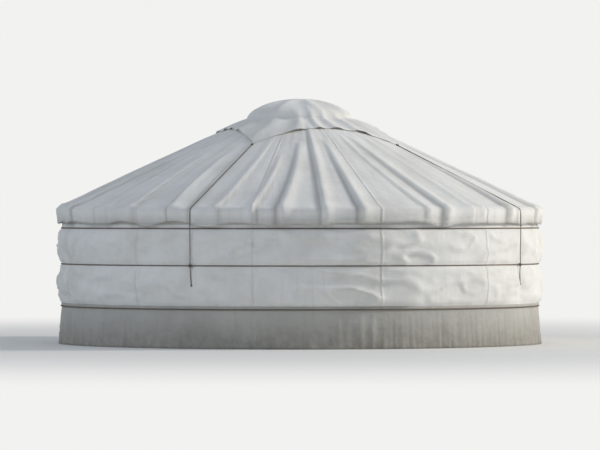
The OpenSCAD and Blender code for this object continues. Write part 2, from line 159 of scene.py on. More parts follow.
print("ropes at", {name: round(height, 3) for name, height in GIRTH_Z.items()})

# %% [markdown]
# ## The camera
# The photograph looks at the back of the yurt, from far away and from eye height. Yurts open
# to the south, and the low sun stands to the right, so the door is on the side that doesn't
# show, and the rope that runs down the wall left of the middle is the back one. A long lens
# from 60 m gives the same flat perspective, and the frame is a fourth wider than the yurt.

# %% Place the camera
VIEW_AZIMUTH = 206
VIEW_DISTANCE = 60
EYE_HEIGHT = 1.6
LOOK_LOWER = 0.05
FRAME_SHARE = 0.8
SENSOR = 36
camera_data = bpy.data.cameras.new("camera")
camera = bpy.data.objects.new("camera", camera_data)
bpy.context.collection.objects.link(camera)
camera.location = place(VIEW_AZIMUTH, VIEW_DISTANCE, EYE_HEIGHT)
look_at = Vector((0, 0, cad_box[1].z / 2 - LOOK_LOWER))
camera.rotation_euler = (look_at - camera.location).to_track_quat("-Z", "Y").to_euler()
camera_data.sensor_width = SENSOR
camera_data.lens = SENSOR * VIEW_DISTANCE / (2 * COVER_R / FRAME_SHARE)
camera_data.clip_end = 500
bpy.context.scene.camera = camera
print("lens", round(camera_data.lens), "mm")

# %% [markdown]
# ## Colours and nodes
# Colours are written as sRGB hex, as a picture editor shows them, and one function turns
# them to the linear values that sockets take. One more small function adds any node with
# its settings and links, so a material reads as a list of its nodes. A number that is the
# same all over a surface is set on the shader's own socket, where an export finds it.

# %% Helpers for every material
def srgb(code):
    """A colour written as #rrggbb, as the linear RGBA that a socket takes."""
    parts = [int(code[i:i + 2], 16) / 255 for i in (1, 3, 5)]
    return [p / 12.92 if p <= 0.04045 else ((p + 0.055) / 1.055) ** 2.4 for p in parts] + [1]


def add(tree, kind, inputs, **settings):
    """Adds a node, sets its properties and fills or links its inputs."""
    made = tree.nodes.new("ShaderNode" + kind)
    for name, value in settings.items():
        setattr(made, name, value)
    for name, value in inputs.items():
        if isinstance(value, bpy.types.NodeSocket):
            tree.links.new(value, made.inputs[name])
        else:
            made.inputs[name].default_value = value
    return made


def new_material(name, roughness, **sockets):
    """A material with a Principled shader, whose own sockets get their plain values here."""
    material = bpy.data.materials.new(name)
    material.use_nodes = True
    shader = material.node_tree.nodes["Principled BSDF"]
    shader.inputs["Roughness"].default_value = roughness
    for socket, value in sockets.items():
        shader.inputs[socket.replace("_", " ")].default_value = value
    print("material", name)
    return material, material.node_tree, shader


print("sRGB #808080 is", round(srgb("#808080")[0], 3), "in linear light")

# %% [markdown]
# ## A pale studio
# The floor is plain and pale, and both floor and sky show white to the camera and in
# reflections, while a plain level of light reaches the yurt. The sun of the photograph
# stands to the right and low, so a large soft lamp stands there, and a weaker one fills
# the shaded side. The floor fades into the white a few metres out, so no edge of it shows,
# and near the yurt it is an ordinary matt floor that keeps the shadow.

# %% Lay the floor
FLOOR_R = 240
floor_mesh = bmesh.new()
bmesh.ops.create_circle(floor_mesh, cap_ends=True, segments=96, radius=FLOOR_R)
floor_data = bpy.data.meshes.new("studio_floor")
floor_mesh.to_mesh(floor_data)
floor_mesh.free()
floor = bpy.data.objects.new("studio_floor", floor_data)
bpy.context.collection.objects.link(floor)
print("floor", 2 * FLOOR_R, "m across")

# %% Fade the floor into the sky
FLOOR_PALE = srgb("#e9e8e4")
SKY_PALE = srgb("#f2f2f0")
FADE_FROM, FADE_TO = 4.0, 16.0
floor_paint, tree, shader = new_material("matt_studio_floor", 0.9)
shader.inputs["Base Color"].default_value = FLOOR_PALE
where = add(tree, "TexCoord", {})
far = add(tree, "VectorMath", {0: where.outputs["Object"]}, operation="LENGTH")
fade = add(tree, "MapRange", {"Value": far.outputs["Value"], "From Min": FADE_FROM,
                              "From Max": FADE_TO}, interpolation_type="SMOOTHSTEP")
rays = add(tree, "LightPath", {})
seen = add(tree, "Math", {0: rays.outputs["Is Camera Ray"], 1: fade.outputs["Result"]},
           operation="MULTIPLY")
glow = add(tree, "Emission", {"Color": SKY_PALE, "Strength": 1.0})
both = add(tree, "MixShader", {0: seen.outputs[0], 1: shader.outputs[0], 2: glow.outputs[0]})
tree.links.new(both.outputs[0], tree.nodes["Material Output"].inputs["Surface"])
floor_data.materials.append(floor_paint)

# %% Hang the sky
SKY_LEVEL = 0.45
world = bpy.data.worlds.new("studio_sky")
world.use_nodes = True
bpy.context.scene.world = world
tree = world.node_tree
rays = add(tree, "LightPath", {})
direct = add(tree, "Math", {0: rays.outputs["Is Camera Ray"], 1: rays.outputs["Is Glossy Ray"]},
             operation="MAXIMUM")
direct = add(tree, "Math", {0: direct.outputs[0], 1: rays.outputs["Is Transmission Ray"]},
             operation="MAXIMUM")
around = add(tree, "Background", {"Color": srgb("#dce6f3"), "Strength": SKY_LEVEL})
behind = add(tree, "Background", {"Color": SKY_PALE, "Strength": 1.0})
both = add(tree, "MixShader", {0: direct.outputs[0], 1: around.outputs[0],
                               2: behind.outputs[0]})
tree.links.new(both.outputs[0], tree.nodes["World Output"].inputs["Surface"])
print("sky lights the yurt at", SKY_LEVEL, "and shows at 1.0")

# %% Light two soft lamps
LAMP_AIM = Vector((0, 0, 1))


def lamp(name, az, elevation, distance, size, watts, colour):
    """A square soft lamp that looks at the middle of the yurt."""
    data = bpy.data.lights.new(name, "AREA")
    data.size = size
    data.energy = watts
    data.color = srgb(colour)[:3]
    made = bpy.data.objects.new(name, data)
    bpy.context.collection.objects.link(made)
    up = math.radians(elevation)
    made.location = place(az, distance * math.cos(up), LAMP_AIM.z + distance * math.sin(up))
    made.rotation_euler = (LAMP_AIM - made.location).to_track_quat("-Z", "Y").to_euler()
    print(name, "lamp of", watts, "W stands", distance, "m away")


lamp("key", VIEW_AZIMUTH + 92, elevation=24, distance=34, size=7, watts=7400,
     colour="#fff9f0")
lamp("fill", VIEW_AZIMUTH - 60, elevation=35, distance=30, size=12, watts=1200,
     colour="#e4edff")
bpy.context.scene.view_settings.view_transform = "Standard"

# %% [markdown]
# ## Cotton canvas
# The covers are plain-woven cotton canvas: matt, with a soft sheen where threads stand up
# at grazing angles, grey run-off streaks down the slope and dust near the ground. Creases
# are darkened with painted shade, and a grey tide line at the hem is partly painted shade
# under the eave. The weave follows the cloth, so it reads the cloth's own UV map, in metres.
# Real threads are 0.7 mm apart, far too fine to show here, so they are drawn six times
# coarser.
# A single list of all its nodes would be hard to follow, so each trait of the cloth is a
# step that takes the colour so far and returns the next. Coordinates are metres, so the
# scale of a noise says how many lumps it has to the metre.

# %% Worn patches and run-off streaks
PATCHES = 1.7
STREAKS = (15.0, 0.9, 1.0)


def worn_colour(tree, cloth, patches, clean, worn):
    """Clean canvas, greyer in worn patches and where run-off has streaked down it."""
    worn_share = add(tree, "MapRange", {"Value": patches.outputs["Fac"], "From Min": 0.42,
                                        "From Max": 0.72, "To Max": 0.55})
    stretch = add(tree, "Mapping", {"Vector": cloth.outputs[0], "Scale": STREAKS})
    streaks = add(tree, "TexNoise", {"Vector": stretch.outputs[0], "Scale": 1.0,
                                     "Detail": 4.0, "Roughness": 0.6})
    streak_share = add(tree, "MapRange", {"Value": streaks.outputs["Fac"], "From Min": 0.5,
                                          "From Max": 0.75, "To Max": 0.35})
    grey = add(tree, "Math", {0: worn_share.outputs[0], 1: streak_share.outputs[0]},
               operation="MAXIMUM")
    return add(tree, "Mix", {0: grey.outputs[0], 6: srgb(clean), 7: srgb(worn)},
               data_type="RGBA").outputs[2]


print(f"patches {1 / PATCHES:.1f} m across, streaks {1 / STREAKS[0] / MM:.0f} mm wide")

# %% Painted shade in creases, and the tide line with painted shade
# A grey band along the hem: a run-off tide line, and partly painted shade under the eave
TIDE_AND_SHADE_H = 0.11
TIDE_AND_SHADE_BELOW = 0.01
TIDE_AND_SHADE_GREY = srgb("#a5a198")


def crease_shade_colour(tree, colour, crease_shade):
    """Painted shade in creases: the attribute is 1 in the bottom of one and 0 on open cloth."""
    crease = add(tree, "Attribute", {}, attribute_name="crease")
    crease_shade_share = add(tree, "MapRange", {"Value": crease.outputs["Fac"], "To Max": 0.7})
    return add(tree, "Mix", {0: crease_shade_share.outputs[0], 6: colour, 7: srgb(crease_shade)},
               data_type="RGBA").outputs[2]


def tide_and_shade_colour(tree, colour, height, patches):
    """A grey band at the hem, darkest at the edge: the line that run-off leaves where it dries,
    and painted shade under the eave.
    """
    tide_and_shade = add(tree, "MapRange", {"Value": height, "From Min": HEM_Z,
                                  "From Max": HEM_Z + TIDE_AND_SHADE_H, "To Min": 1.0, "To Max": 0.0})
    on_hem = add(tree, "Math", {0: height, 1: HEM_Z - TIDE_AND_SHADE_BELOW}, operation="GREATER_THAN")
    tide_and_shade = add(tree, "Math", {0: tide_and_shade.outputs[0], 1: on_hem.outputs[0]}, operation="MULTIPLY")
    tide_and_shade = add(tree, "Math", {0: tide_and_shade.outputs[0], 1: patches.outputs["Fac"]},
               operation="MULTIPLY")
    return add(tree, "Mix", {0: tide_and_shade.outputs[0], 6: colour, 7: TIDE_AND_SHADE_GREY},
               data_type="RGBA").outputs[2]


print(f"tide line from {HEM_Z:.3f} up to {HEM_Z + TIDE_AND_SHADE_H:.3f} m")

# %% Dust from the ground
SPLASHES = 9.0


def dusty_colour(tree, colour, where, height, dust, dust_height):
    """Dust thrown up from the ground, broken up by a noise of clods and splashes."""
    splash = add(tree, "TexNoise", {"Vector": where.outputs["Object"], "Scale": SPLASHES,
                                    "Detail": 5.0, "Roughness": 0.7})
    reach = add(tree, "MapRange", {"Value": height, "From Max": dust_height,
                                   "To Min": 1.0, "To Max": 0.0},
                interpolation_type="SMOOTHSTEP")
    dusty = add(tree, "Math", {0: reach.outputs[0], 1: splash.outputs["Fac"]},
                operation="MULTIPLY")
    return add(tree, "Mix", {0: dusty.outputs[0], 6: colour, 7: srgb(dust)},
               data_type="RGBA").outputs[2]


print(f"splashes {1 / SPLASHES / MM:.0f} mm across")

# %% Two rows of stitches
STITCH = 0.003 * 4
STITCH_ROWS = (0.004, 0.014)
ROW_W = 0.0024
SEWING_THREAD = srgb("#b9ad97")


def stitch_rows(tree, cloth, seams):
    """1 on the stitches beside a seam, which are drawn four times as long as real ones."""
    apart = add(tree, "SeparateXYZ", {0: seams.outputs[0]})
    along = add(tree, "SeparateXYZ", {0: cloth.outputs[0]})
    rows = add(tree, "Math", {0: apart.outputs["X"], 1: sum(STITCH_ROWS) / 2},
               operation="SUBTRACT")
    rows = add(tree, "Math", {0: rows.outputs[0]}, operation="ABSOLUTE")
    half_apart = (STITCH_ROWS[1] - STITCH_ROWS[0]) / 2
    rows = add(tree, "Math", {0: rows.outputs[0], 1: half_apart, 2: ROW_W / 2},
               operation="COMPARE")
    dashes = add(tree, "Math", {0: along.outputs["Y"], 1: STITCH}, operation="MODULO")
    dashes = add(tree, "Math", {0: dashes.outputs[0]}, operation="ABSOLUTE")
    dashes = add(tree, "Math", {0: dashes.outputs[0], 1: STITCH * 0.6}, operation="LESS_THAN")
    return add(tree, "Math", {0: rows.outputs[0], 1: dashes.outputs[0]},
               operation="MULTIPLY").outputs[0]


def stitched_colour(tree, colour, stitches):
    """The sewing thread is browner than the cloth, and half of it sinks in."""
    share = add(tree, "Math", {0: stitches, 1: 0.5}, operation="MULTIPLY")
    return add(tree, "Mix", {0: share.outputs[0], 6: colour, 7: SEWING_THREAD},
               data_type="RGBA").outputs[2]


print(f"stitches every {STITCH / MM:.0f} mm, in rows {STITCH_ROWS} m from a seam")

# %% The weave and its relief
THREAD = 0.0007 * 6
CRUMPLES = 7.0


def woven_relief(tree, cloth, stitches, weave_depth):
    """Crumples, then the weave as a product of two sines, then the raised stitches."""
    turns = add(tree, "VectorMath", {0: cloth.outputs[0], "Scale": 2 * math.pi / THREAD},
                operation="SCALE")
    waves = add(tree, "VectorMath", {0: turns.outputs[0]}, operation="SINE")
    crossed = add(tree, "SeparateXYZ", {0: waves.outputs[0]})
    weave = add(tree, "Math", {0: crossed.outputs["X"], 1: crossed.outputs["Y"]},
                operation="MULTIPLY")
    crumple = add(tree, "TexNoise", {"Vector": cloth.outputs[0], "Scale": CRUMPLES,
                                     "Detail": 5.0, "Roughness": 0.55, "Distortion": 0.6})
    bumps = add(tree, "Bump", {"Height": crumple.outputs["Fac"], "Strength": 0.45,
                               "Distance": 0.02})
    bumps = add(tree, "Bump", {"Height": weave.outputs[0], "Strength": weave_depth,
                               "Distance": 0.0006, "Normal": bumps.outputs[0]})
    return add(tree, "Bump", {"Height": stitches, "Strength": 0.8, "Distance": 0.001,
                              "Normal": bumps.outputs[0]}).outputs[0]


print(f"threads {THREAD / MM:.1f} mm apart, crumples {1 / CRUMPLES / MM:.0f} mm across")

# %% White canvas, and the dusty strip's
def woven_canvas(name, clean, worn, crease_shade, dust, dust_height, weave_depth):
    """Plain-woven cotton canvas with stitched seams, run-off streaks, dust, and painted shade in
    creases and under the eave.
    """
    material, tree, shader = new_material(name, 0.88, Sheen_Weight=0.12, Sheen_Roughness=0.5,
                                          Specular_IOR_Level=0.25)
    cloth = add(tree, "UVMap", {}, uv_map="cloth")
    seams = add(tree, "UVMap", {}, uv_map="seams")
    where = add(tree, "TexCoord", {})
    height = add(tree, "SeparateXYZ", {0: where.outputs["Object"]}).outputs["Z"]
    patches = add(tree, "TexNoise", {"Vector": where.outputs["Object"], "Scale": PATCHES,
                                     "Detail": 6.0, "Roughness": 0.62})
    colour = worn_colour(tree, cloth, patches, clean, worn)
    # Painted shade darkens the creases, and the tide line is partly painted shade under the eave
    colour = crease_shade_colour(tree, colour, crease_shade)
    colour = tide_and_shade_colour(tree, colour, height, patches)
    colour = dusty_colour(tree, colour, where, height, dust, dust_height)
    stitches = stitch_rows(tree, cloth, seams)
    colour = stitched_colour(tree, colour, stitches)
    tree.links.new(colour, shader.inputs["Base Color"])
    relief = woven_relief(tree, cloth, stitches, weave_depth)
    tree.links.new(relief, shader.inputs["Normal"])
    return material


# The creased colours below are painted shade in creases
white_canvas = woven_canvas("white_cotton_canvas_plain_woven", clean="#f3f2ee",
                            worn="#d6d3ca", crease_shade="#a9a69d", dust="#b3a992",
                            dust_height=0.55, weave_depth=0.6)
strip_canvas = woven_canvas("foot_strip_canvas_dusty", clean="#c3c1ba", worn="#a5a29a",
                            crease_shade="#827f78", dust="#7f786c", dust_height=0.42,
                            weave_depth=0.8)

# %% [markdown]
# ## Felt, horsehair and rawhide
# Felt is wool beaten and rolled until it mats: off-white, hairy, with darker wisps and no
# weave at all, so noise of two scales is enough. The ropes are plied horsehair and wool,
# brown with lighter tufts of hair, 0.6 mm thick on a real rope and drawn four times as thick.
# Rawhide thongs pin the laths; they are yellowish and a bit waxy.

# %% Rolled wool felt
WISPS = 14.0
HAIRS = 220.0
wool_felt, tree, shader = new_material("rolled_wool_felt", 0.95, Sheen_Weight=0.35,
                                       Sheen_Roughness=0.6, Specular_IOR_Level=0.2)
where = add(tree, "TexCoord", {})
wisps = add(tree, "TexNoise", {"Vector": where.outputs["Object"], "Scale": WISPS,
                               "Detail": 8.0, "Roughness": 0.7, "Distortion": 1.5})
dark = add(tree, "MapRange", {"Value": wisps.outputs["Fac"], "From Min": 0.52, "From Max": 0.75})
tone = add(tree, "Mix", {0: dark.outputs[0], 6: srgb("#ddd6c6"), 7: srgb("#a99d88")},
           data_type="RGBA")
tree.links.new(tone.outputs[2], shader.inputs["Base Color"])
hairs = add(tree, "TexNoise", {"Vector": where.outputs["Object"], "Scale": HAIRS,
                               "Detail": 3.0, "Distortion": 2.0})
mat = add(tree, "Bump", {"Height": wisps.outputs["Fac"], "Strength": 0.5, "Distance": 0.006})
mat = add(tree, "Bump", {"Height": hairs.outputs["Fac"], "Strength": 0.6, "Distance": 0.0015,
                         "Normal": mat.outputs[0]})
tree.links.new(mat.outputs[0], shader.inputs["Normal"])
print(f"wisps {1 / WISPS / MM:.0f} mm across, hairs {1 / HAIRS / MM:.1f} mm apart")

# %% Plied horsehair rope and rawhide
HAIR = 0.0006 * 4
HIDE_GRAIN = 0.002


def twisted_fibre(name, dark_colour, light_colour, roughness, grain):
    """Fibres about `grain` metres thick, mixed from dark and light ones."""
    material, tree, shader = new_material(name, roughness, Sheen_Weight=0.2,
                                          Specular_IOR_Level=0.3)
    where = add(tree, "TexCoord", {})
    fibres = add(tree, "TexNoise", {"Vector": where.outputs["Object"], "Scale": 1 / grain / 3,
                                    "Detail": 4.0, "Roughness": 0.75, "Distortion": 3.0})
    share = add(tree, "MapRange", {"Value": fibres.outputs["Fac"], "From Min": 0.35,
                                   "From Max": 0.68})
    tone = add(tree, "Mix", {0: share.outputs[0], 6: srgb(dark_colour),
                             7: srgb(light_colour)}, data_type="RGBA")
    tree.links.new(tone.outputs[2], shader.inputs["Base Color"])
    bump = add(tree, "Bump", {"Height": fibres.outputs["Fac"], "Strength": 0.7,
                              "Distance": grain})
    tree.links.new(bump.outputs[0], shader.inputs["Normal"])
    return material


hair_rope = twisted_fibre("plied_horsehair_rope", "#574b3d", "#8d8172", 0.8, HAIR)
rawhide = twisted_fibre("rawhide_thong_dried", "#a98a58", "#d6bd8c", 0.5, HIDE_GRAIN)

# %% [markdown]
# ## Wood and iron
# The laths are split willow, left bare and darkened by smoke. The crown, its spokes and the
# columns are birch painted orange-red, and so is the door, whose paint is brushed on and
# worn where hands and weather reach it. Grain and brush marks are long and narrow, so one
# noise is squeezed 34 times across the grain and hardly along it, and it serves for both.
# The hinges and the handle are forged iron.

# %% Bare willow and brushed paint
ACROSS_GRAIN = 34.0
ALONG_GRAIN = 1.6
GRAIN = 2.2


def brushed_wood(name, light_colour, dark_colour, worn_colour, wear, roughness, grain_axis,
                 coat=0.0):
    """Wood whose grain runs along one axis, with brushed paint worn through in spots."""
    material, tree, shader = new_material(name, roughness, Coat_Weight=coat,
                                          Coat_Roughness=0.35)
    squeeze = [ACROSS_GRAIN] * 3
    squeeze["xyz".index(grain_axis)] = ALONG_GRAIN
    where = add(tree, "TexCoord", {})
    along = add(tree, "Mapping", {"Vector": where.outputs["Object"], "Scale": squeeze})
    grain = add(tree, "TexNoise", {"Vector": along.outputs[0], "Scale": GRAIN, "Detail": 7.0,
                                   "Roughness": 0.65, "Distortion": 0.7})
    share = add(tree, "MapRange", {"Value": grain.outputs["Fac"], "From Min": 0.3,
                                   "From Max": 0.72})
    tone = add(tree, "Mix", {0: share.outputs[0], 6: srgb(dark_colour),
                             7: srgb(light_colour)}, data_type="RGBA")
    spots = add(tree, "TexNoise", {"Vector": where.outputs["Object"], "Scale": 6.0,
                                   "Detail": 9.0, "Roughness": 0.72})
    bare = add(tree, "MapRange", {"Value": spots.outputs["Fac"], "From Min": 0.7 - wear,
                                  "From Max": 0.74 - wear, "To Max": 0.85})
    tone = add(tree, "Mix", {0: bare.outputs[0], 6: tone.outputs[2], 7: srgb(worn_colour)},
               data_type="RGBA")
    tree.links.new(tone.outputs[2], shader.inputs["Base Color"])
    bump = add(tree, "Bump", {"Height": grain.outputs["Fac"], "Strength": 0.35,
                              "Distance": 0.0015})
    bump = add(tree, "Bump", {"Height": bare.outputs[0], "Strength": 0.4,
                              "Distance": -0.0008, "Normal": bump.outputs[0]})
    tree.links.new(bump.outputs[0], shader.inputs["Normal"])
    return material


print(f"grain lines {1 / ACROSS_GRAIN / GRAIN / MM:.0f} mm wide")

# %% Finish five kinds of wood
DOOR_RED = {"light_colour": "#a2401f", "dark_colour": "#7c2c16", "worn_colour": "#a87d52",
            "wear": 0.05, "roughness": 0.55, "coat": 0.05}
willow = brushed_wood("bare_willow_split", "#c48d54", "#8a5a30", "#6f4a2b", wear=0.04,
                      roughness=0.65, grain_axis="z")
crown_paint = brushed_wood("birch_painted_orange_red", "#b55327", "#8d3717", "#a9794c",
                           wear=0.02, roughness=0.4, grain_axis="z", coat=0.15)
door_paint = brushed_wood("door_pine_painted_red_brown", grain_axis="z", **DOOR_RED)
panel_paint = brushed_wood("door_panel_pine_painted_orange", "#bf6430", "#9c4a20", "#b08a60",
                           wear=0.04, roughness=0.55, grain_axis="z", coat=0.05)
rail_paint = brushed_wood("frame_pine_painted_across", grain_axis="x", **DOOR_RED)

# %% Forged iron
MILL_SCALE = 60.0
iron, tree, shader = new_material("forged_iron_blackened", 0.5, Metallic=0.85)
where = add(tree, "TexCoord", {})
scale = add(tree, "TexNoise", {"Vector": where.outputs["Object"], "Scale": MILL_SCALE,
                               "Detail": 6.0, "Roughness": 0.7})
rust = add(tree, "MapRange", {"Value": scale.outputs["Fac"], "From Min": 0.55, "From Max": 0.7,
                              "To Max": 0.6})
tone = add(tree, "Mix", {0: rust.outputs[0], 6: srgb("#4b4a4a"), 7: srgb("#6b4330")},
           data_type="RGBA")
tree.links.new(tone.outputs[2], shader.inputs["Base Color"])
dents = add(tree, "Bump", {"Height": scale.outputs["Fac"], "Strength": 0.5, "Distance": 0.001})
tree.links.new(dents.outputs[0], shader.inputs["Normal"])
print(f"hammer scale {1 / MILL_SCALE / MM:.0f} mm across")

# %% Give the carpentry its finishes
FINISHES = {
    "lattice_": willow, "poles_": willow, "crown_ring": crown_paint,
    "crown_spokes": crown_paint, "crown_hub": crown_paint, "column_": crown_paint,
    "jamb_": door_paint, "lintel": rail_paint, "threshold": rail_paint,
    "door_frame_of_leaf": door_paint, "door_panels": panel_paint, "door_handle": iron,
    "hinge_": iron,
}
for node, obj in frame["nodes"].items():
    for start, finish in FINISHES.items():
        if node.startswith(start):
            obj.data.materials.clear()
            obj.data.materials.append(finish)
print("finished", sum(node.startswith(tuple(FINISHES)) for node in frame["nodes"]), "nodes")

# %% [markdown]
# ## Cloth as a turned line
# Every cover of a yurt starts as the same thing: a line seen from the side, spun round the
# middle. The spin gives an even net of quads, the doorway is cut out of it by planes, and
# then each point is moved outwards along its own normal by a function of azimuth and
# height, which is how a sculptor would push folds into it. A cloth simulation of the whole
# roof would take minutes; folds written as functions take seconds and stay the same.

# %% Copy a small shape
def repeated(seed, placings):
    """Joins one copy of a small bmesh for each matrix."""
    joined = bmesh.new()
    mesh = bpy.data.meshes.new("copy")
    for placing in placings:
        copy = seed.copy()
        copy.transform(placing)
        copy.to_mesh(mesh)
        copy.free()
        joined.from_mesh(mesh)
    bpy.data.meshes.remove(mesh)
    seed.free()
    return joined


disc = bmesh.new()
bmesh.ops.create_circle(disc, cap_ends=True, segments=6, radius=0.1)
row_of_discs = repeated(disc, [Matrix.Translation((k, 0, 0)) for k in range(3)])
print("three copies of a six-sided disc have", len(row_of_discs.verts), "points")
row_of_discs.free()

# %% Spin a line into a net
def face_out(bm):
    """Turns an open cloth over if its faces look at the middle of the yurt."""
    middle = Vector((0, 0, 0.5))
    outward = sum((f.calc_center_median() - middle).dot(f.normal) for f in bm.faces)
    if outward < 0:
        bmesh.ops.reverse_faces(bm, faces=bm.faces)


def turn(line, step, columns, first=0.0, last=360.0, sectors=1):
    """Spins a line of (radius, height) points into quads. Equal sectors save time."""
    bm = bmesh.new()
    corners = [place(first, r, z) for r, z in line]
    last_vert = bm.verts.new(corners[0])
    for a, b in zip(corners, corners[1:]):
        parts = max(round((b - a).length / step), 1)
        for i in range(parts):
            next_vert = bm.verts.new(a.lerp(b, (i + 1) / parts))
            bm.edges.new((last_vert, next_vert))
            last_vert = next_vert
    angle = math.radians(last - first) / sectors
    bmesh.ops.spin(bm, geom=bm.verts[:] + bm.edges[:], cent=(0, 0, 0), axis=(0, 0, 1),
                   dvec=(0, 0, 0), angle=angle, steps=columns // sectors, use_merge=False)
    bm = repeated(bm, [Matrix.Rotation(angle * k, 4, "Z") for k in range(sectors)])
    bmesh.ops.remove_doubles(bm, verts=bm.verts, dist=1e-5)
    bmesh.ops.recalc_face_normals(bm, faces=bm.faces)
    face_out(bm)
    print("spun a net of", len(bm.faces), "faces")
    return bm


# %% Cut the doorway out
DOOR_SIDE_GAP = 0.01
DOOR_TOP_GAP = 0.006
ROOF_DOOR = (FRAME_W / 2 + DOOR_SIDE_GAP, FRAME_TOP + DOOR_TOP_GAP)
WALL_DOOR = (FRAME_W / 2 + PLAY, 2 * WALL_TOP)


def cut_doorway(bm, half_width, top):
    """Cuts away what would hang in front of the door frame."""
    planes = [((-half_width, 0, 0), (1, 0, 0)), ((half_width, 0, 0), (1, 0, 0)),
              ((0, 0, top), (0, 0, 1))]
    for point, normal in planes:
        near = [f for f in bm.faces if f.calc_center_median().y < 0
                and abs(f.calc_center_median().x) < FRAME_W]
        edges = {e for f in near for e in f.edges}
        verts = {v for f in near for v in f.verts}
        bmesh.ops.bisect_plane(bm, geom=[*verts, *edges, *near], plane_co=point,
                               plane_no=normal, dist=1e-6)
    gone = [f for f in bm.faces if f.calc_center_median().y < 0
            and abs(f.calc_center_median().x) < half_width and f.calc_center_median().z < top]
    bmesh.ops.delete(bm, geom=gone, context="FACES")


print(f"roof layers leave {2 * ROOF_DOOR[0]:.3f} m for the door, {ROOF_DOOR[1]:.3f} m high")

# %% Push folds out of the net
SEED_STEP = 17.0


def push_out(bm, rise, creases=None):
    """Moves each point along its normal, and keeps how deep it lies in a crease, for painted
    shade.
    """
    bm.normal_update()
    layer = bm.verts.layers.float.new("crease")
    creases = np.zeros_like(rise) if creases is None else creases
    for v, far, crease in zip(bm.verts, rise, creases):
        v.co += v.normal * far
        v[layer] = crease


def lumps(az, z, around, upwards, seed):
    """Smooth noise on the wall, with lumps of these sizes in metres, that closes on itself."""
    a = np.radians(az)
    x, y = WALL_R * np.sin(a) / around, WALL_R * np.cos(a) / around
    h = z / upwards + SEED_STEP * seed
    return np.array([noise.noise((p, q, s)) for p, q, s in zip(x, y, h)])


ring = np.arange(0.0, 360.0)
sample = lumps(ring, np.zeros_like(ring), 0.4, 1.0, 10)
print(f"lumps run from {sample.min():.2f} to {sample.max():.2f}")

# %% [markdown]
# ## Sewn panels
# Canvas comes in widths, so a cover is sewn from panels. Each panel gets its own flat piece
# of the UV map, in metres, and the weave turns a little from one panel to the next as on
# the real cover. A second map holds the distance from the nearest seam, for the stitches.
# Two planes beside each seam score the net, so the folded seam can stand proud of it.

# %% Score the seams
PANELS = 12
SEAM_W = 0.026
SEAM_T = 0.0015
ON_LINE = 1e-4


def seam_distance(az, r, panels):
    """How far points lie from the plane of the nearest seam, in metres."""
    half = 180 / panels
    off = (az % (2 * half)) - half
    return np.abs(np.sin(np.radians(off))) * r


def score_seams(bm, panels):
    """Adds edges at both sides of each seam. Seams lie half a panel from the door."""
    for k in range(panels // 2):
        a = math.radians(360 / panels * (k + 0.5))
        across = Vector((math.cos(a), math.sin(a), 0))
        for offset in (-SEAM_W / 2 - SEAM_T, -SEAM_W / 2, SEAM_W / 2, SEAM_W / 2 + SEAM_T):
            bmesh.ops.bisect_plane(bm, geom=bm.verts[:] + bm.edges[:] + bm.faces[:],
                                   plane_co=across * offset, plane_no=across, dist=1e-5)
    print("scored", panels, "seams, now", len(bm.faces), "faces")


def seam_rise(az, r, panels):
    """The folded seams stand proud of the cloth."""
    return np.where(seam_distance(az, r, panels) < SEAM_W / 2 + ON_LINE, SEAM_T, 0.0)


print(f"panels {2 * math.pi * WALL_R / PANELS:.2f} m wide, seams {SEAM_W / MM:.0f} mm")

# %% Map the cloth in metres
def lay_cloth(bm, panels, down):
    """Gives the cloth its UV maps: flat panels in metres, and distances from the seams."""
    cloth = bm.loops.layers.uv.new("cloth")
    seams = bm.loops.layers.uv.new("seams")
    width = 360 / panels
    for face in bm.faces:
        c = face.calc_center_median()
        az = math.degrees(math.atan2(c.x, -c.y))
        middle = round(az / width) * width
        for loop in face.loops:
            p = loop.vert.co
            r = math.hypot(p.x, p.y)
            off = turned_by(math.degrees(math.atan2(p.x, -p.y)), middle)
            loop[cloth].uv = (math.radians(off) * r, down(r, p.z))
            loop[seams].uv = (math.radians(width / 2 - abs(off)) * r, p.z)
    print("mapped", len(bm.faces), "faces in", panels, "panels")


# %% Make it a piece
def make_piece(name, bm, material, nodes=(), body="yurt"):
    """Turns a finished bmesh into a smooth piece that rides on a body."""
    mesh = bpy.data.meshes.new(name)
    bm.to_mesh(mesh)
    bm.free()
    mesh.shade_smooth()
    mesh.materials.append(material)
    obj = bpy.data.objects.new(name, mesh)
    bpy.context.collection.objects.link(obj)
    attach(obj, body)
    if nodes:
        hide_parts(*nodes)
    print(name, len(mesh.polygons), "faces")
    return obj


def thicken(obj, thickness):
    """Gives a cloth its thickness, inwards from the surface that was shaped."""
    solid = obj.modifiers.new("thickness", "SOLIDIFY")
    solid.thickness = thickness
    solid.offset = -1
    return obj


# %% [markdown]
# ## The roof canvas
# The roof canvas is a cone sewn from panels, a little too large for the poles, so its
# slack gathers in loose folds that start under the crown and run down to the eave. In the
# photograph they show as dark and light streaks, some 40 cm apart, and the folds' seed is
# one that puts the deep ones about where the dark streaks are. Past the eave the
# canvas hangs down as a short skirt whose hem flutes and wavers. The four ropes of the
# crown flap press it flat along their lines.

# %% Where the flap ropes press
FRONT_SLANT = 12.0
FLAP_ROPES = {"right": (90, 0.0), "back": (180, 0.0), "left": (270, 0.0),
              "front": (0, FRONT_SLANT)}


def rope_azimuth(name, r):
    """Where a flap rope lies at a radius: the front one slants past the door frame."""
    az, slant = FLAP_ROPES[name]
    return az + slant * np.clip((r - FLAP_R) / (EAVE[0] - FLAP_R), 0, 1)


def under_ropes(az, r, reach):
    """0 under a flap rope, growing to 1 away from it."""
    share = np.ones_like(az)
    for name in FLAP_ROPES:
        off = np.radians(turned_by(az, rope_azimuth(name, r))) * r
        share *= 1 - np.exp(-(off / reach) ** 2)
    return share


print("ropes at the eave:", {name: float(rope_azimuth(name, EAVE[0])) for name in FLAP_ROPES})

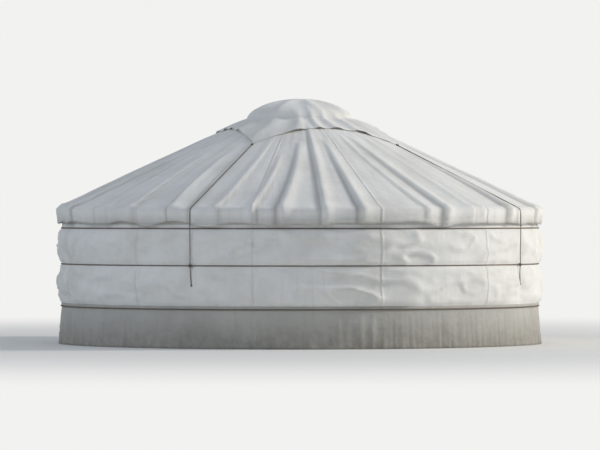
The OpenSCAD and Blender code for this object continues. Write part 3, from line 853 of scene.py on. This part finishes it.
# %% Loose folds of the roof
ROOF_FOLDS = 42
FOLD_SEED = 22866
FOLD_STARTS = (0.6, 1.7)
FOLD_HEIGHTS = (0.014, 0.052)
FOLD_WIDTHS = (0.022, 0.034)
FOLD_LEANS = (0.3, 0.8)
FOLD_JITTER = 0.32
DRIFT, DRIFT_WAVES, DRIFT_MORE = 4, 5, 1.2
FOLD_SHADE_DEPTH = 0.045


def roof_folds(az, r):
    """Loose folds that wander down the slope, each steep on one side, and the painted shade in
    their creases.
    """
    rng = random.Random(FOLD_SEED)
    rise = np.zeros_like(az)
    creases = np.zeros_like(az)
    for k in range(ROOF_FOLDS):
        centre = 360 / ROOF_FOLDS * (k + rng.uniform(-FOLD_JITTER, FOLD_JITTER))
        start = rng.uniform(*FOLD_STARTS)
        height = rng.uniform(*FOLD_HEIGHTS)
        width = rng.uniform(*FOLD_WIDTHS) + 0.8 * height
        lean = rng.choice((-1, 1)) * rng.uniform(*FOLD_LEANS)
        drift = DRIFT * math.sin(math.radians(DRIFT_WAVES * centre))
        drift += rng.uniform(-DRIFT_MORE, DRIFT_MORE)
        # From its start a fold grows higher and wider down the slope, and drifts aside
        run = np.clip((r - start) / (EAVE[0] - start), 0, 1)
        off = np.radians(turned_by(az, centre + drift * run ** 1.4)) * r
        x = off / (width * (0.55 + 0.45 * run))
        x = x / np.where(x * lean > 0, 1 + abs(lean), 1 - 0.6 * abs(lean))
        rise += height * run ** 0.5 * np.exp(-x ** 2)
        # Painted shade lies at the foot of its steep side
        steep_foot = x * math.copysign(1, -lean) - 1.5
        creases += height / FOLD_SHADE_DEPTH * run ** 0.5 * np.exp(-(steep_foot / 0.6) ** 2)
    return rise, np.minimum(creases, 1)


print(f"folds {math.radians(360 / ROOF_FOLDS) * EAVE[0]:.2f} m apart at the eave")

# %% How far the roof canvas stands off
POLES = 72
PITCH = 360 / POLES
SLACK_H, RUMPLE_H, OVER_POLE_H, FLUTE_H = 0.006, 0.002, 0.003, 0.016
EAVE_ROLL = 0.020


def down_skirt(z):
    """0 at the eave, growing to 1 at the hem."""
    return np.clip((DROP_Z - z) / (DROP_Z - HEM_Z), 0, 1)


def roof_rise(az, r, z):
    """How far the roof canvas stands off the felt."""
    skirt = down_skirt(z)
    slope = np.clip((r - CROWN_R) / 0.5, 0, 1)
    poles = 0.5 + 0.5 * np.cos(np.radians(turned_by(az, PITCH / 2)) * POLES)
    # The folds lose nearly half their height on the way down the skirt
    rise = roof_folds(az, r)[0] * (1 - 0.45 * skirt)
    rise += SLACK_H * slope * (0.5 + lumps(az, r, 0.7, 0.5, 1))
    rise += OVER_POLE_H * slope * poles
    rise += RUMPLE_H * slope * (0.5 + lumps(az, r, 0.12, 0.3, 2))
    rise += skirt * FLUTE_H * np.abs(lumps(az, z, 0.13, 2.0, 3))
    rise += EAVE_ROLL * np.clip((r - EAVE[0] + 0.05) / 0.07, 0, 1) * (1 - skirt) ** 1.5
    # Ropes press it flat 10 cm to each side, and it starts flat on the crown ring
    rise *= under_ropes(az, r, 0.1)
    return np.maximum(rise, 0) * np.clip((r - CROWN_R) / 0.1, 0, 1)


at_eave = roof_rise(ring, np.full_like(ring, EAVE[0]), np.full_like(ring, EAVE[1]))
print(f"at the eave {at_eave.mean() / MM:.0f} mm, {at_eave.max() / MM:.0f} at the most")

# %% Spin, cut and fold the roof canvas
HEM_W = 0.045
HEM_WAVER = 0.045
bm = turn([CROWN_EDGE, EAVE, EAVE_SIDE, (COVER_R, HEM_Z + HEM_W + SEAM_T),
           (COVER_R, HEM_Z + HEM_W), HEM], step=0.042, columns=600, sectors=PANELS)
cut_doorway(bm, *ROOF_DOOR)
score_seams(bm, PANELS)
az, r, z = polar([v.co for v in bm.verts])
hem_fold = np.where(z < HEM_Z + HEM_W + ON_LINE, SEAM_T, 0.0)
push_out(bm, roof_rise(az, r, z) + seam_rise(az, r, PANELS) + hem_fold, roof_folds(az, r)[1])
hem_drop = HEM_WAVER * down_skirt(z) ** 1.5 * lumps(az, np.zeros_like(az), 0.4, 1.0, 10)
for v, lower in zip(bm.verts, hem_drop):
    v.co.z -= lower
print(f"the hem wavers by {(hem_drop.max() - hem_drop.min()) / MM:.0f} mm")

# %% Sew the roof canvas
def down_the_roof(r, z):
    """Metres along the roof canvas, counted down from the crown."""
    return -r / math.cos(SLOPE) if z > DROP_Z else -EAVE[0] / math.cos(SLOPE) - DROP_Z + z


lay_cloth(bm, PANELS, down_the_roof)
roof = thicken(make_piece("roof_cover", bm, white_canvas, ["roof_canvas"]),
               CANVAS_T)

# %% [markdown]
# ## The wall canvas
# The wall canvas is one long strip that wraps the wall and is drawn in by its ropes.
# Between them it swells over the springy felt and creases: long slack creases slant both
# ways, and short puckers stand at each rope. A ridge that follows the zero line of a noise
# makes one long crease, and two such noises, sheared opposite ways, make a lively wall.

# %% Ridges and puckers
PUCKER_REACH = 0.09
PUCKER_H = 0.014
ROPE_GRIP = 0.014


def ridge(values, width):
    """1 where a noise crosses zero, falling off within width to both sides."""
    return np.exp(-(values / width) ** 2)


def puckers(az, z, rope_z, seed):
    """Short upright folds where a rope draws cloth in. They vanish under the rope itself."""
    away = z - rope_z
    near = np.exp(-(away / PUCKER_REACH) ** 2) * (1 - np.exp(-(away / ROPE_GRIP) ** 2))
    return near * PUCKER_H * np.abs(lumps(az, z, 0.055, 0.7, seed))


beside = puckers(ring, np.full_like(ring, GIRTH_Z["middle"] + 0.02), GIRTH_Z["middle"], 8)
print(f"puckers up to {beside.max() / MM:.0f} mm high")

# %% How far the wall canvas stands off
BELLY = 0.008
FALLING_H, RISING_H, LUMP_H = 0.048, 0.042, 0.040
FRAME_HOLD = 0.14


def wall_rise(az, r, z):
    """How far the wall canvas stands off the felt."""
    rise = np.zeros_like(az)
    slack = np.zeros_like(az)
    for low, high in ((STRIP_H, GIRTH_Z["middle"]), (GIRTH_Z["middle"], GIRTH_Z["top"])):
        share = np.clip((z - low) / (high - low), 0, 1)
        rise += SWELL * np.sin(np.pi * share)
        slack += np.sin(np.pi * share) ** 0.7
    # Creases that slant one way fade out where those that slant the other way come in
    falling = ridge(lumps(az + 9 * z, z, 0.5, 0.17, 4), 0.13)
    rising = ridge(lumps(az - 15 * z, z, 0.42, 0.14, 5), 0.11)
    region = lumps(az, z, 0.9, 0.5, 6)
    creases = FALLING_H * falling * np.clip(region + 0.35, 0, 1)
    creases += RISING_H * rising * np.clip(0.35 - region, 0, 1)
    creases += LUMP_H * (lumps(az, z, 0.5, 0.22, 7) + 0.4) + BELLY
    for name, seed in (("middle", 8), ("top", 9)):
        creases += puckers(az, z, GIRTH_Z[name], seed) * (z < GIRTH_Z["top"])
    # Flap ropes and the door frame hold the cloth flat
    free = under_ropes(az, np.maximum(r, EAVE[0]), 0.06)
    from_frame = np.abs(np.radians(turned_by(az, 0))) * r - FRAME_W / 2
    free *= 1 - 0.85 * np.exp(-(from_frame / FRAME_HOLD) ** 2)
    return rise + np.maximum(creases, 0) * slack ** 0.5 * free


between = np.full_like(ring, (STRIP_H + GIRTH_Z["middle"]) / 2)
swollen = wall_rise(ring, np.full_like(ring, WALL_R), between)
print(f"between ropes {swollen.mean() / MM:.0f} mm, {swollen.max() / MM:.0f} at the most")

# %% Make the wall canvas
bm = turn([(WALL_R, WALL_TOP), (WALL_R, GIRTH_Z["top"]), (WALL_R, GIRTH_Z["middle"]),
           (WALL_R, STRIP_H), (WALL_R, WALL_LOW)], step=0.03, columns=600, sectors=PANELS)
cut_doorway(bm, *WALL_DOOR)
score_seams(bm, PANELS)
az, r, z = polar([v.co for v in bm.verts])
shows = (z > STRIP_H + MM) & (z < GIRTH_Z["top"])
push_out(bm, wall_rise(az, r, z) + seam_rise(az, r, PANELS) * shows)
lay_cloth(bm, PANELS, lambda r, z: z)
wall = thicken(make_piece("wall_cover", bm, white_canvas, ["wall_canvas"]),
               CANVAS_T)

# %% [markdown]
# ## The foot strip
# A separate strip of older canvas is tied round the foot of the wall to keep the draught
# out, and in summer it can be lifted. Its rope gathers it, its top edge flops out over the
# rope, and its lower edge spreads on the ground in small pleats, grey with dust. It is made
# as the wall canvas is, and only the function that folds it is its own.

# %% Gather the foot strip
FLARE_H, PLEAT_H, FLOP_H, STRIP_CREASE_H = 0.030, 0.030, 0.014, 0.006
FLOP_LEAST = 0.004


def strip_rise(az, z):
    """The strip is drawn in at its rope, flops out above it and flares to the ground."""
    rope_z = GIRTH_Z["foot"]
    below = np.clip((rope_z - z) / rope_z, 0, 1)
    above = np.clip((z - rope_z) / (STRIP_H - rope_z), 0, 1)
    flutes = np.abs(lumps(az, z, 0.10, 3.0, 20)) + 0.5 * np.abs(lumps(az, z, 0.045, 2.0, 21))
    flare = FLARE_H * below ** 1.6 * (0.7 + lumps(az, z, 0.8, 1.0, 22))
    pleats = PLEAT_H * flutes * below ** 0.6
    flop = above * (FLOP_LEAST + FLOP_H * np.abs(lumps(az, z, 0.07, 1.0, 23)))
    slanting = ridge(lumps(az + 12 * z, z, 0.4, 0.1, 24), 0.15)
    creases = STRIP_CREASE_H * slanting * np.sin(np.pi * below)
    return np.maximum(flare, 0) + pleats + flop + np.maximum(creases, 0)


at_ground = strip_rise(ring, np.zeros_like(ring))
print(f"at the ground {at_ground.mean() / MM:.0f} mm, {at_ground.max() / MM:.0f} at the most")

# %% Make the foot strip
STRIP_GRIP = 0.016
bm = turn([(STRIP_R, STRIP_H), (STRIP_R, GIRTH_Z["foot"] + GIRTH_D / 2),
           (STRIP_R, GIRTH_Z["foot"] - GIRTH_D / 2), (STRIP_R, 0.0)], step=0.03,
          columns=900, sectors=PANELS)
cut_doorway(bm, *WALL_DOOR)
az, r, z = polar([v.co for v in bm.verts])
off_rope = 1 - np.exp(-((z - GIRTH_Z["foot"]) / STRIP_GRIP) ** 2)
push_out(bm, strip_rise(az, z) * off_rope)
lay_cloth(bm, PANELS, lambda r, z: z)
strip = thicken(make_piece("foot_strip_cloth", bm, strip_canvas,
                           ["foot_strip"]), CANVAS_T)

# %% [markdown]
# ## The crown flap
# A square of canvas covers the crown against rain, one corner towards the door, and four
# ropes from its corners hold it down or draw it back. A flat square laid over a dome has
# cloth to spare all round, so it folds. Each point keeps its distance from the middle: it
# is carried over the dome and down the roof by that length, and the spare width is taken
# up by folds that grow towards the edge. Between the eight spokes under it the cloth sags.

# %% Measure over the crown
FLAP_PLAY = 0.005
ARC_STEPS = 90


def roof_surface(r, off):
    """Height of a layer that lies off metres above the roof canvas, at a radius."""
    return CROWN_EDGE[1] - (r - CROWN_EDGE[0]) * math.tan(SLOPE) + off / math.cos(SLOPE)


def lengths_along(points):
    """How far each point of a route lies from its start, measured along it."""
    return np.concatenate([[0], np.cumsum([math.dist(a, b) for a, b in zip(points, points[1:])])])


dome_a, dome_b = CROWN_R + FLAP_PLAY, FLAP_TOP - RIM_TOP
turns = [math.radians(90 * i / ARC_STEPS) for i in range(ARC_STEPS + 1)]
arc = [(dome_a * math.sin(t), RIM_TOP + dome_b * math.cos(t)) for t in turns]
arc += [(r, roof_surface(r, FLAP_PLAY)) for r in (dome_a + 0.004, FLAP_R + 0.2)]
arc_length = lengths_along(arc)
arc_r, arc_z = np.array(arc).T
FLAP_REACH = float(np.interp(FLAP_R, arc_r, arc_length))
FLAP_SIDE = FLAP_REACH * math.sqrt(2)
print(f"the flap is cut {FLAP_SIDE:.2f} m square")

# %% Folds and sag of the flap
SPOKE_STEP = 45
SPOKE_W = 0.042
SPOKE_SAG = 0.026
FLAP_WAVES = 20
FLAP_FOLD_H, FLAP_LUMP_H = 0.026, 0.010
HUB_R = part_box("crown_hub")[1].x


def flap_folds(rho, az):
    """Folds that take up the spare cloth, five to a side, deepest past the dome's rim."""
    # The middle stays flat, and the folds reach their height 85 cm out
    grown = np.clip((rho - 0.35) / 0.5, 0, 1) ** 1.5
    wander = 5 * lumps(az, rho, 2.2, 0.8, 30)
    wave = 0.5 + 0.5 * np.cos(np.radians(az) * FLAP_WAVES + wander)
    small = 0.5 + 0.5 * lumps(az, rho, 0.5, 0.6, 31)
    return grown * (FLAP_FOLD_H * wave ** 1.5 + FLAP_LUMP_H * small)


def spoke_sag(r, az):
    """The flap lies on eight spokes and hangs a little in each gap between them."""
    off = np.radians(np.abs((az + SPOKE_STEP / 2) % SPOKE_STEP - SPOKE_STEP / 2))
    half_gap = np.maximum(r * math.sin(math.radians(SPOKE_STEP / 2)) - SPOKE_W / 2, MM)
    across = np.clip((r * np.sin(off) - SPOKE_W / 2) / half_gap, 0, 1)
    along = np.clip((r - HUB_R) / (CROWN_R - HUB_R), 0, 1)
    return SPOKE_SAG * (1 - (1 - across) ** 2) * np.sin(np.pi * along) ** 0.7


halfway = np.full_like(ring, (HUB_R + CROWN_R) / 2)
print(f"the flap sags {spoke_sag(halfway, ring).max() / MM:.0f} mm between spokes")

# %% Map a flat square
FLAP_NET = 96
bm = bmesh.new()
bmesh.ops.create_grid(bm, x_segments=FLAP_NET, y_segments=FLAP_NET, size=FLAP_SIDE / 2)
flat = np.array([v.co[:] for v in bm.verts])
cloth_uv = bm.loops.layers.uv.new("cloth")
seam_uv = bm.loops.layers.uv.new("seams")
for face in bm.faces:
    for loop in face.loops:
        x, y = loop.vert.co.x, loop.vert.co.y
        loop[cloth_uv].uv = (x, y)
        loop[seam_uv].uv = (FLAP_SIDE / 2 - max(abs(x), abs(y)), 0)
print("flap net", len(bm.faces), "faces")

# %% Carry it over the crown
CORNER_HOLD = 0.25
rho = np.hypot(flat[:, 0], flat[:, 1])
az = np.degrees(np.arctan2(flat[:, 1], flat[:, 0])) + 45
r, z = np.interp(rho, arc_length, arc_r), np.interp(rho, arc_length, arc_z)
for v, a, radius, height in zip(bm.verts, az, r, z):
    v.co = place(a, radius, height)
bmesh.ops.recalc_face_normals(bm, faces=bm.faces)
face_out(bm)
on_roof = np.clip((r - CROWN_R) / 0.05, 0, 1)
lie = roof_rise(az, np.maximum(r, CROWN_R), np.full_like(r, DROP_Z + 1)) * on_roof
free = 1 - np.clip((rho - FLAP_REACH + CORNER_HOLD) / CORNER_HOLD, 0, 1)
push_out(bm, lie + flap_folds(rho, az) * free - spoke_sag(r, az))
flap = thicken(make_piece("crown_flap_cloth", bm, white_canvas,
                          ["crown_flap"]), FLAP_PLAY)

# %% [markdown]
# ## Ropes with a real lay
# A rope is three strands laid together. A curve with a three-lobed section gives that
# shape: each point of the curve turns the section a little further, and when one step
# turns it by one corner of the section, the edges of the mesh run along the strands.

# %% Section and route of a rope
ROPE_CORNERS = 9
LAY = 3.75
LOBE = 0.16


def strand_section(diameter):
    """The closed three-lobed outline of a laid rope, as a curve to sweep."""
    curve = bpy.data.curves.new("strand_section", "CURVE")
    curve.dimensions = "2D"
    spline = curve.splines.new("POLY")
    spline.points.add(ROPE_CORNERS - 1)
    for k, point in enumerate(spline.points):
        turned = 2 * math.pi * k / ROPE_CORNERS
        r = diameter / 2 * (1 - LOBE + LOBE * math.cos(3 * turned))
        point.co = (r * math.cos(turned), r * math.sin(turned), 0, 1)
    spline.use_cyclic_u = True
    made = bpy.data.objects.new("strand_section", curve)
    bpy.context.collection.objects.link(made)
    return made


def eased(points, rounds):
    """Cuts a route's corners, as a stiff rope does."""
    for _ in range(rounds):
        inner = [p for a, b in zip(points, points[1:])
                 for p in (a.lerp(b, 0.25), a.lerp(b, 0.75))]
        points = [points[0], *inner, points[-1]]
    return points


def spaced(points, step):
    """Points along a route, a step apart."""
    along = lengths_along(points)
    wanted = np.arange(0, along[-1], step)
    axes = [np.interp(wanted, along, [p[i] for p in points]) for i in range(3)]
    return list(zip(*axes))


print(f"strands of the girth ropes turn once in {LAY * GIRTH_D / MM:.0f} mm")

# %% Lay a rope along its routes
def laid_rope(name, routes, diameter, nodes=()):
    """Sweeps the strands along each route and joins them in one piece."""
    section = strand_section(diameter)
    curve = bpy.data.curves.new(name, "CURVE")
    curve.dimensions = "3D"
    curve.bevel_mode = "OBJECT"
    curve.bevel_object = section
    curve.use_fill_caps = True
    for route in routes:
        points = spaced(route, LAY * diameter / ROPE_CORNERS)
        spline = curve.splines.new("POLY")
        spline.points.add(len(points) - 1)
        for k, (point, co) in enumerate(zip(spline.points, points)):
            point.co = (*co, 1)
            point.tilt = 2 * math.pi * (k % ROPE_CORNERS) / ROPE_CORNERS
    made = bpy.data.objects.new(name + "_curve", curve)
    bpy.context.collection.objects.link(made)
    mesh = bpy.data.meshes.new_from_object(
        made.evaluated_get(bpy.context.evaluated_depsgraph_get()))
    bpy.data.objects.remove(made)
    bpy.data.objects.remove(section)
    bm = bmesh.new()
    bm.from_mesh(mesh)
    bmesh.ops.recalc_face_normals(bm, faces=bm.faces)
    return make_piece(name, bm, hair_rope, nodes)


print(f"points of a girth rope lie {LAY * GIRTH_D / ROPE_CORNERS / MM:.1f} mm apart")

# %% Wind a rope round itself
def coil(centre, axis, radius, pitch, turns):
    """A route that winds round an axis: a hitch or a seizing."""
    axis = axis.normalized()
    side = axis.orthogonal().normalized()
    other = axis.cross(side)
    steps = round(24 * turns)
    return [centre + axis * pitch * (turns * i / steps - turns / 2)
            + radius * (side * math.cos(2 * math.pi * turns * i / steps)
                        + other * math.sin(2 * math.pi * turns * i / steps))
            for i in range(steps + 1)]


four_turns = coil(Vector((0, 0, 0)), Vector((0, 0, 1)), radius=0.012, pitch=0.01, turns=4)
print(f"four turns 24 mm across take {lengths_along(four_turns)[-1]:.2f} m of rope")

# %% [markdown]
# ## The three ropes round the wall
# Each girth rope runs from one door jamb round the whole yurt to the other, and is made
# fast there with a few turns round itself. They are taut, so they are plain circles.

# %% Make the girth ropes
RING_STEPS = 360
KNOT_FROM_JAMB = 1.0
SEIZING_D = 0.6 * GIRTH_D


def girth_rope(name, r):
    """One rope round the wall, with a seizing near each end."""
    height = GIRTH_Z[name]
    middle = r + PLAY + GIRTH_D / 2
    jamb = math.degrees(math.asin((FRAME_W / 2 + PLAY) / middle))
    route = [place(jamb + (360 - 2 * jamb) * i / RING_STEPS, middle, height)
             for i in range(RING_STEPS + 1)]
    laid_rope("girth_rope_" + name + "_laid", [route], GIRTH_D, ["girth_rope_" + name])
    knots = [coil(place(az, middle, height), place(az + 90, 1, 0), radius=GIRTH_D * 0.75,
                  pitch=GIRTH_D * 0.62, turns=4)
             for az in (jamb + KNOT_FROM_JAMB, 360 - jamb - KNOT_FROM_JAMB)]
    laid_rope("girth_knots_" + name, knots, SEIZING_D)


for name, r in (("top", WALL_R), ("middle", WALL_R), ("foot", STRIP_R)):
    girth_rope(name, r)

# %% [markdown]
# ## The four ropes of the flap
# From each corner of the flap a rope runs down the roof, over the eave and to the middle
# girth rope, where it is hitched and its end left hanging. The front one slants past the
# door frame. The routes repeat those of the frame's plain ropes.

# %% Route a flap rope
FLAP_ROPE_D = 0.012
KNOT_D = 0.026
TAIL_Z = 0.72
TAIL_SWING = 0.25
SLOPE_STEPS = 14
ROPE_START = FLAP_R + 0.004
off_roof = FLAP_ROPE_D / 2 + 2 * PLAY
knot_r = WALL_R + 2 * PLAY + GIRTH_D + KNOT_D / 2
tail_r = WALL_R + SWELL + PLAY + FLAP_ROPE_D / 2


def rope_run(az, slant):
    """Down the roof, over the eave, to the middle girth rope and a tail that hangs."""
    stop = EAVE[0] + off_roof
    run = []
    for i in range(SLOPE_STEPS + 1):
        r = ROPE_START + (stop - ROPE_START) * i / SLOPE_STEPS
        run.append(place(az + slant * i / SLOPE_STEPS, r, roof_surface(r, off_roof)))
    end = az + slant
    for r, z in ((COVER_R + off_roof, DROP_Z), (COVER_R + off_roof, HEM_Z),
                 (knot_r, GIRTH_Z["middle"] + 0.06), (knot_r, GIRTH_Z["middle"]),
                 (tail_r, GIRTH_Z["middle"] - 0.08)):
        run.append(place(end, r, z))
    run.append(place(end + TAIL_SWING, tail_r, TAIL_Z))
    return run


print(f"a flap rope runs {lengths_along(rope_run(90, 0.0))[-1]:.2f} m")

# %% Make the flap ropes
def flap_rope(name):
    """One flap rope: its run, its hitch on the middle rope, its seizing and its end knot."""
    az, slant = FLAP_ROPES[name]
    end = az + slant
    upright = Vector((0, 0, 1))
    hitch = coil(place(end, knot_r, GIRTH_Z["middle"]), upright, radius=FLAP_ROPE_D * 0.9,
                 pitch=FLAP_ROPE_D * 0.85, turns=3)
    seized_r = ROPE_START + 0.02
    seizing = coil(place(az, seized_r, roof_surface(seized_r, off_roof)),
                   place(az, 1, -math.tan(SLOPE)), radius=FLAP_ROPE_D * 0.7,
                   pitch=FLAP_ROPE_D * 0.7, turns=4)
    stopper = coil(place(end + TAIL_SWING, tail_r, TAIL_Z + FLAP_ROPE_D), upright,
                   radius=FLAP_ROPE_D * 0.5, pitch=FLAP_ROPE_D * 0.8, turns=2)
    run = eased(rope_run(az, slant), 2)
    laid_rope("flap_rope_" + name + "_laid", [run, hitch, seizing, stopper], FLAP_ROPE_D,
              ["flap_rope_" + name])


for name in FLAP_ROPES:
    flap_rope(name)

# %% [markdown]
# ## Felt on the wall and the roof
# Four strips of felt wrap the wall and four quarters lie on the poles. They show from
# inside, between the laths and the poles, and they are thick and lumpy. The outer face
# sinks by up to 1.5 mm and the felt is 3 mm thinner than its space, so it stays inside it.

# %% Wrap the wall in felt
FELT_SINK = 0.0015
felt_line = outline("wall_felt_back_right")
FELT_IN = felt_line[0][0]
FELT_OUT, felt_top = felt_line[-1]
DOOR_EDGE = math.degrees(math.asin(FRAME_W / 2 / FELT_IN))
QUARTERS = ("front_right", "back_right", "back_left", "front_left")


def felt_piece(name, line, first, last, columns, step, doorway):
    """A strip of felt between two azimuths, cut back from the door frame."""
    bm = turn(line, step, columns, first, last)
    if min(first, 360 - last) < 45:
        cut_doorway(bm, *doorway)
    az, r, z = polar([v.co for v in bm.verts])
    push_out(bm, -FELT_SINK * (0.5 + 0.5 * lumps(az, r + z, 0.22, 0.2, 40)))
    felt = make_piece(name + "_rolled", bm, wool_felt, [name])
    thicken(felt, FELT_OUT - FELT_IN - 2 * FELT_SINK)


share = (360 - 2 * DOOR_EDGE) / 4
for k, side in enumerate(QUARTERS):
    felt_piece("wall_felt_" + side, [(FELT_OUT, felt_top), (FELT_OUT, 0.0)],
               DOOR_EDGE + share * k, DOOR_EDGE + share * (k + 1), columns=90, step=0.06,
               doorway=WALL_DOOR)

# %% Lay felt on the poles
roof_line = roof_corners("roof_felt_back_right")
for k, side in enumerate(QUARTERS):
    felt_piece("roof_felt_" + side, roof_line, 90 * k, 90 * (k + 1), columns=80, step=0.07,
               doorway=ROOF_DOOR)

# %% [markdown]
# ## Thongs and loops
# Each crossing of the lattice is pinned by a knotted rawhide thong, and each pole is tied
# to the lattice by a loop of cord. There are hundreds, so each has a few dozen faces. Seen
# from the side a lath is straight, so it rises with the sine of its angle from its middle.

# %% Pin the lattice
CELLS = 5
HEAD_Z, FOOT_Z = 1.530, 0.050
LATH_T = 0.012
LATTICE_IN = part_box("lattice_back")[1].y - 2 * LATH_T
THONG_R = 0.006
CLEAR_OF_DOOR = DOOR_EDGE + 0.4


def crossing_height(k):
    """Height of row k of the crossings, from -5 at the foot to 5 at the head."""
    rise = math.sin(math.radians(k * PITCH / 2)) / math.sin(math.radians(CELLS * PITCH / 2))
    return (HEAD_Z + FOOT_Z) / 2 + (HEAD_Z - FOOT_Z) / 2 * rise


rng = random.Random(3)
thong = bmesh.new()
bmesh.ops.create_uvsphere(thong, u_segments=6, v_segments=4, radius=THONG_R)
spots = []
for row in range(-CELLS, CELLS + 1):
    for column in range(POLES):
        az = (column + (0.5 if row % 2 else 0)) * PITCH
        if abs(turned_by(az, 0)) > CLEAR_OF_DOOR:
            swollen = Matrix.Diagonal((1.1, 1.1, rng.uniform(0.8, 1.1), 1))
            spots.append(Matrix.Translation(place(az, LATTICE_IN, crossing_height(row)))
                         @ swollen)
make_piece("lattice_thongs", repeated(thong, spots), rawhide)
print(len(spots), "thongs")

# %% Tie the poles
POLE_D = 0.036
CORD_D = 0.003
LOOP_R = 2.800
under_canvas = POLE_D / 2 + FELT_OUT - FELT_IN + CANVAS_T + 2 * PLAY
loop = bmesh.new()
bmesh.ops.create_circle(loop, segments=5, radius=CORD_D / 2)
bmesh.ops.translate(loop, verts=loop.verts, vec=(POLE_D / 2 + CORD_D / 2, 0, 0))
bmesh.ops.spin(loop, geom=loop.verts[:] + loop.edges[:], cent=(0, 0, 0), axis=(0, 1, 0),
               dvec=(0, 0, 0), angle=2 * math.pi, steps=14, use_merge=True)
bmesh.ops.recalc_face_normals(loop, faces=loop.faces)
loop_z = roof_surface(LOOP_R, -under_canvas)
ties = []
for column in range(POLES):
    az = (column + 0.5) * PITCH
    if abs(turned_by(az, 0)) > CLEAR_OF_DOOR:
        for apart in (0, CORD_D):
            centre = place(az, LOOP_R - apart, loop_z)
            ties.append(Matrix.Translation(centre) @ Matrix.Rotation(math.radians(az), 4, "Z")
                        @ Matrix.Rotation(SLOPE, 4, "X"))
make_piece("pole_loops", repeated(loop, ties), hair_rope)
print(len(ties), "turns of cord round the poles")

# %% [markdown]
# ## Mouldings and screws of the door
# A joiner frames each sunk panel with a moulding, mitred at its corners, and the hinge
# plates are screwed on. The moulding starts as one rectangle: an inset gives its frame,
# an extrusion its height, and a bevel rounds its inner edge.

# %% Make the panel mouldings
MOULDING_W, MOULDING_H = 0.018, 0.006


def moulding(width, height):
    """A mitred frame that lies on the ground, its inner edge rounded."""
    bm = bmesh.new()
    bmesh.ops.create_grid(bm, x_segments=1, y_segments=1, size=0.5)
    bmesh.ops.scale(bm, verts=bm.verts, vec=(width, height, 1))
    middle = bm.faces[:]
    bmesh.ops.inset_individual(bm, faces=middle, thickness=MOULDING_W)
    bmesh.ops.delete(bm, geom=middle, context="FACES_ONLY")
    bmesh.ops.recalc_face_normals(bm, faces=bm.faces)
    bmesh.ops.solidify(bm, geom=bm.faces[:], thickness=MOULDING_H)
    low = min(v.co.z for v in bm.verts)
    bmesh.ops.translate(bm, verts=bm.verts, vec=(0, 0, -low))
    inner = [v for v in bm.verts if v.co.z > MOULDING_H / 2
             and abs(v.co.x) < width / 2 - MOULDING_W / 2
             and abs(v.co.y) < height / 2 - MOULDING_W / 2]
    edges = [e for e in bm.edges if all(v in inner for v in e.verts)]
    bmesh.ops.bevel(bm, geom=edges, offset=MOULDING_H * 0.8, segments=4, profile=0.5,
                    affect="EDGES", material=-1)
    print(f"moulding {width:.3f} x {height:.3f} m")
    return bm


# %% Set a moulding on each side of each panel
GROOVE = 0.0097
panel_low, panel_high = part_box("door_panels")
panel_z = sorted({round(v.co.z, 4) for v in frame["nodes"]["door_panels"].data.vertices})
low, high = panel_z[0] + GROOVE, panel_z[1] - GROOVE
stand_up = Matrix.Rotation(math.radians(90), 4, "X")
placings = []
for z in (low, panel_z[2] + GROOVE):
    for y, facing in ((panel_low.y, 1), (panel_high.y, -1)):
        centre = Vector((0, y, z + (high - low) / 2))
        placings.append(Matrix.Translation(centre) @ Matrix.Diagonal((1, facing, 1, 1))
                        @ stand_up)
bm = repeated(moulding(panel_high.x - panel_low.x - 2 * GROOVE, high - low), placings)
bmesh.ops.recalc_face_normals(bm, faces=bm.faces)
trims = make_piece("panel_mouldings", bm, door_paint, body="door")
trims.data.shade_flat()

# %% Drive the screws
PLATE_T = 0.003
HINGE_INSET = 0.18
SCREW_OUT, SCREW_STEP, SCREW_STAGGER = 0.030, 0.032, 0.008
SCREW_R, SCREW_TOP_R, SCREW_H = 0.0048, 0.003, 0.0022
leaf_low, leaf_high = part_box("door_frame_of_leaf")
hinge_x = (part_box("hinge_frame_plates")[0].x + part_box("hinge_leaf_plates")[1].x) / 2
HINGE_HEIGHTS = (leaf_low.z + HINGE_INSET, (leaf_low.z + leaf_high.z) / 2,
                 leaf_high.z - HINGE_INSET)


def screw():
    """A domed screw head with a sunk middle."""
    bm = bmesh.new()
    bmesh.ops.create_cone(bm, cap_ends=True, segments=12, radius1=SCREW_R,
                          radius2=SCREW_TOP_R, depth=SCREW_H)
    top = max(bm.faces, key=lambda f: f.calc_center_median().z)
    bmesh.ops.inset_region(bm, faces=[top], thickness=0.0008, depth=-0.0005)
    return bm


for side, body, name in ((1, "yurt", "frame_screws"), (-1, "door", "leaf_screws")):
    spots = [Matrix.Translation((hinge_x + side * (SCREW_OUT + SCREW_STAGGER * abs(k)),
                                 leaf_low.y - PLATE_T - SCREW_H / 2, height + k * SCREW_STEP))
             @ stand_up for height in HINGE_HEIGHTS for k in (-1, 0, 1)]
    make_piece(name, repeated(screw(), spots), iron, body=body)

# %% [markdown]
# ## Check the finish
# The dressed yurt has to stay within its solids, apart from the little that cloth stands
# proud. A mesh that has no material would show up here.

# %% Look for meshes without a material
for obj in bpy.data.objects:
    if obj.type == "MESH" and not obj.data.materials:
        print("no material on", obj.name)
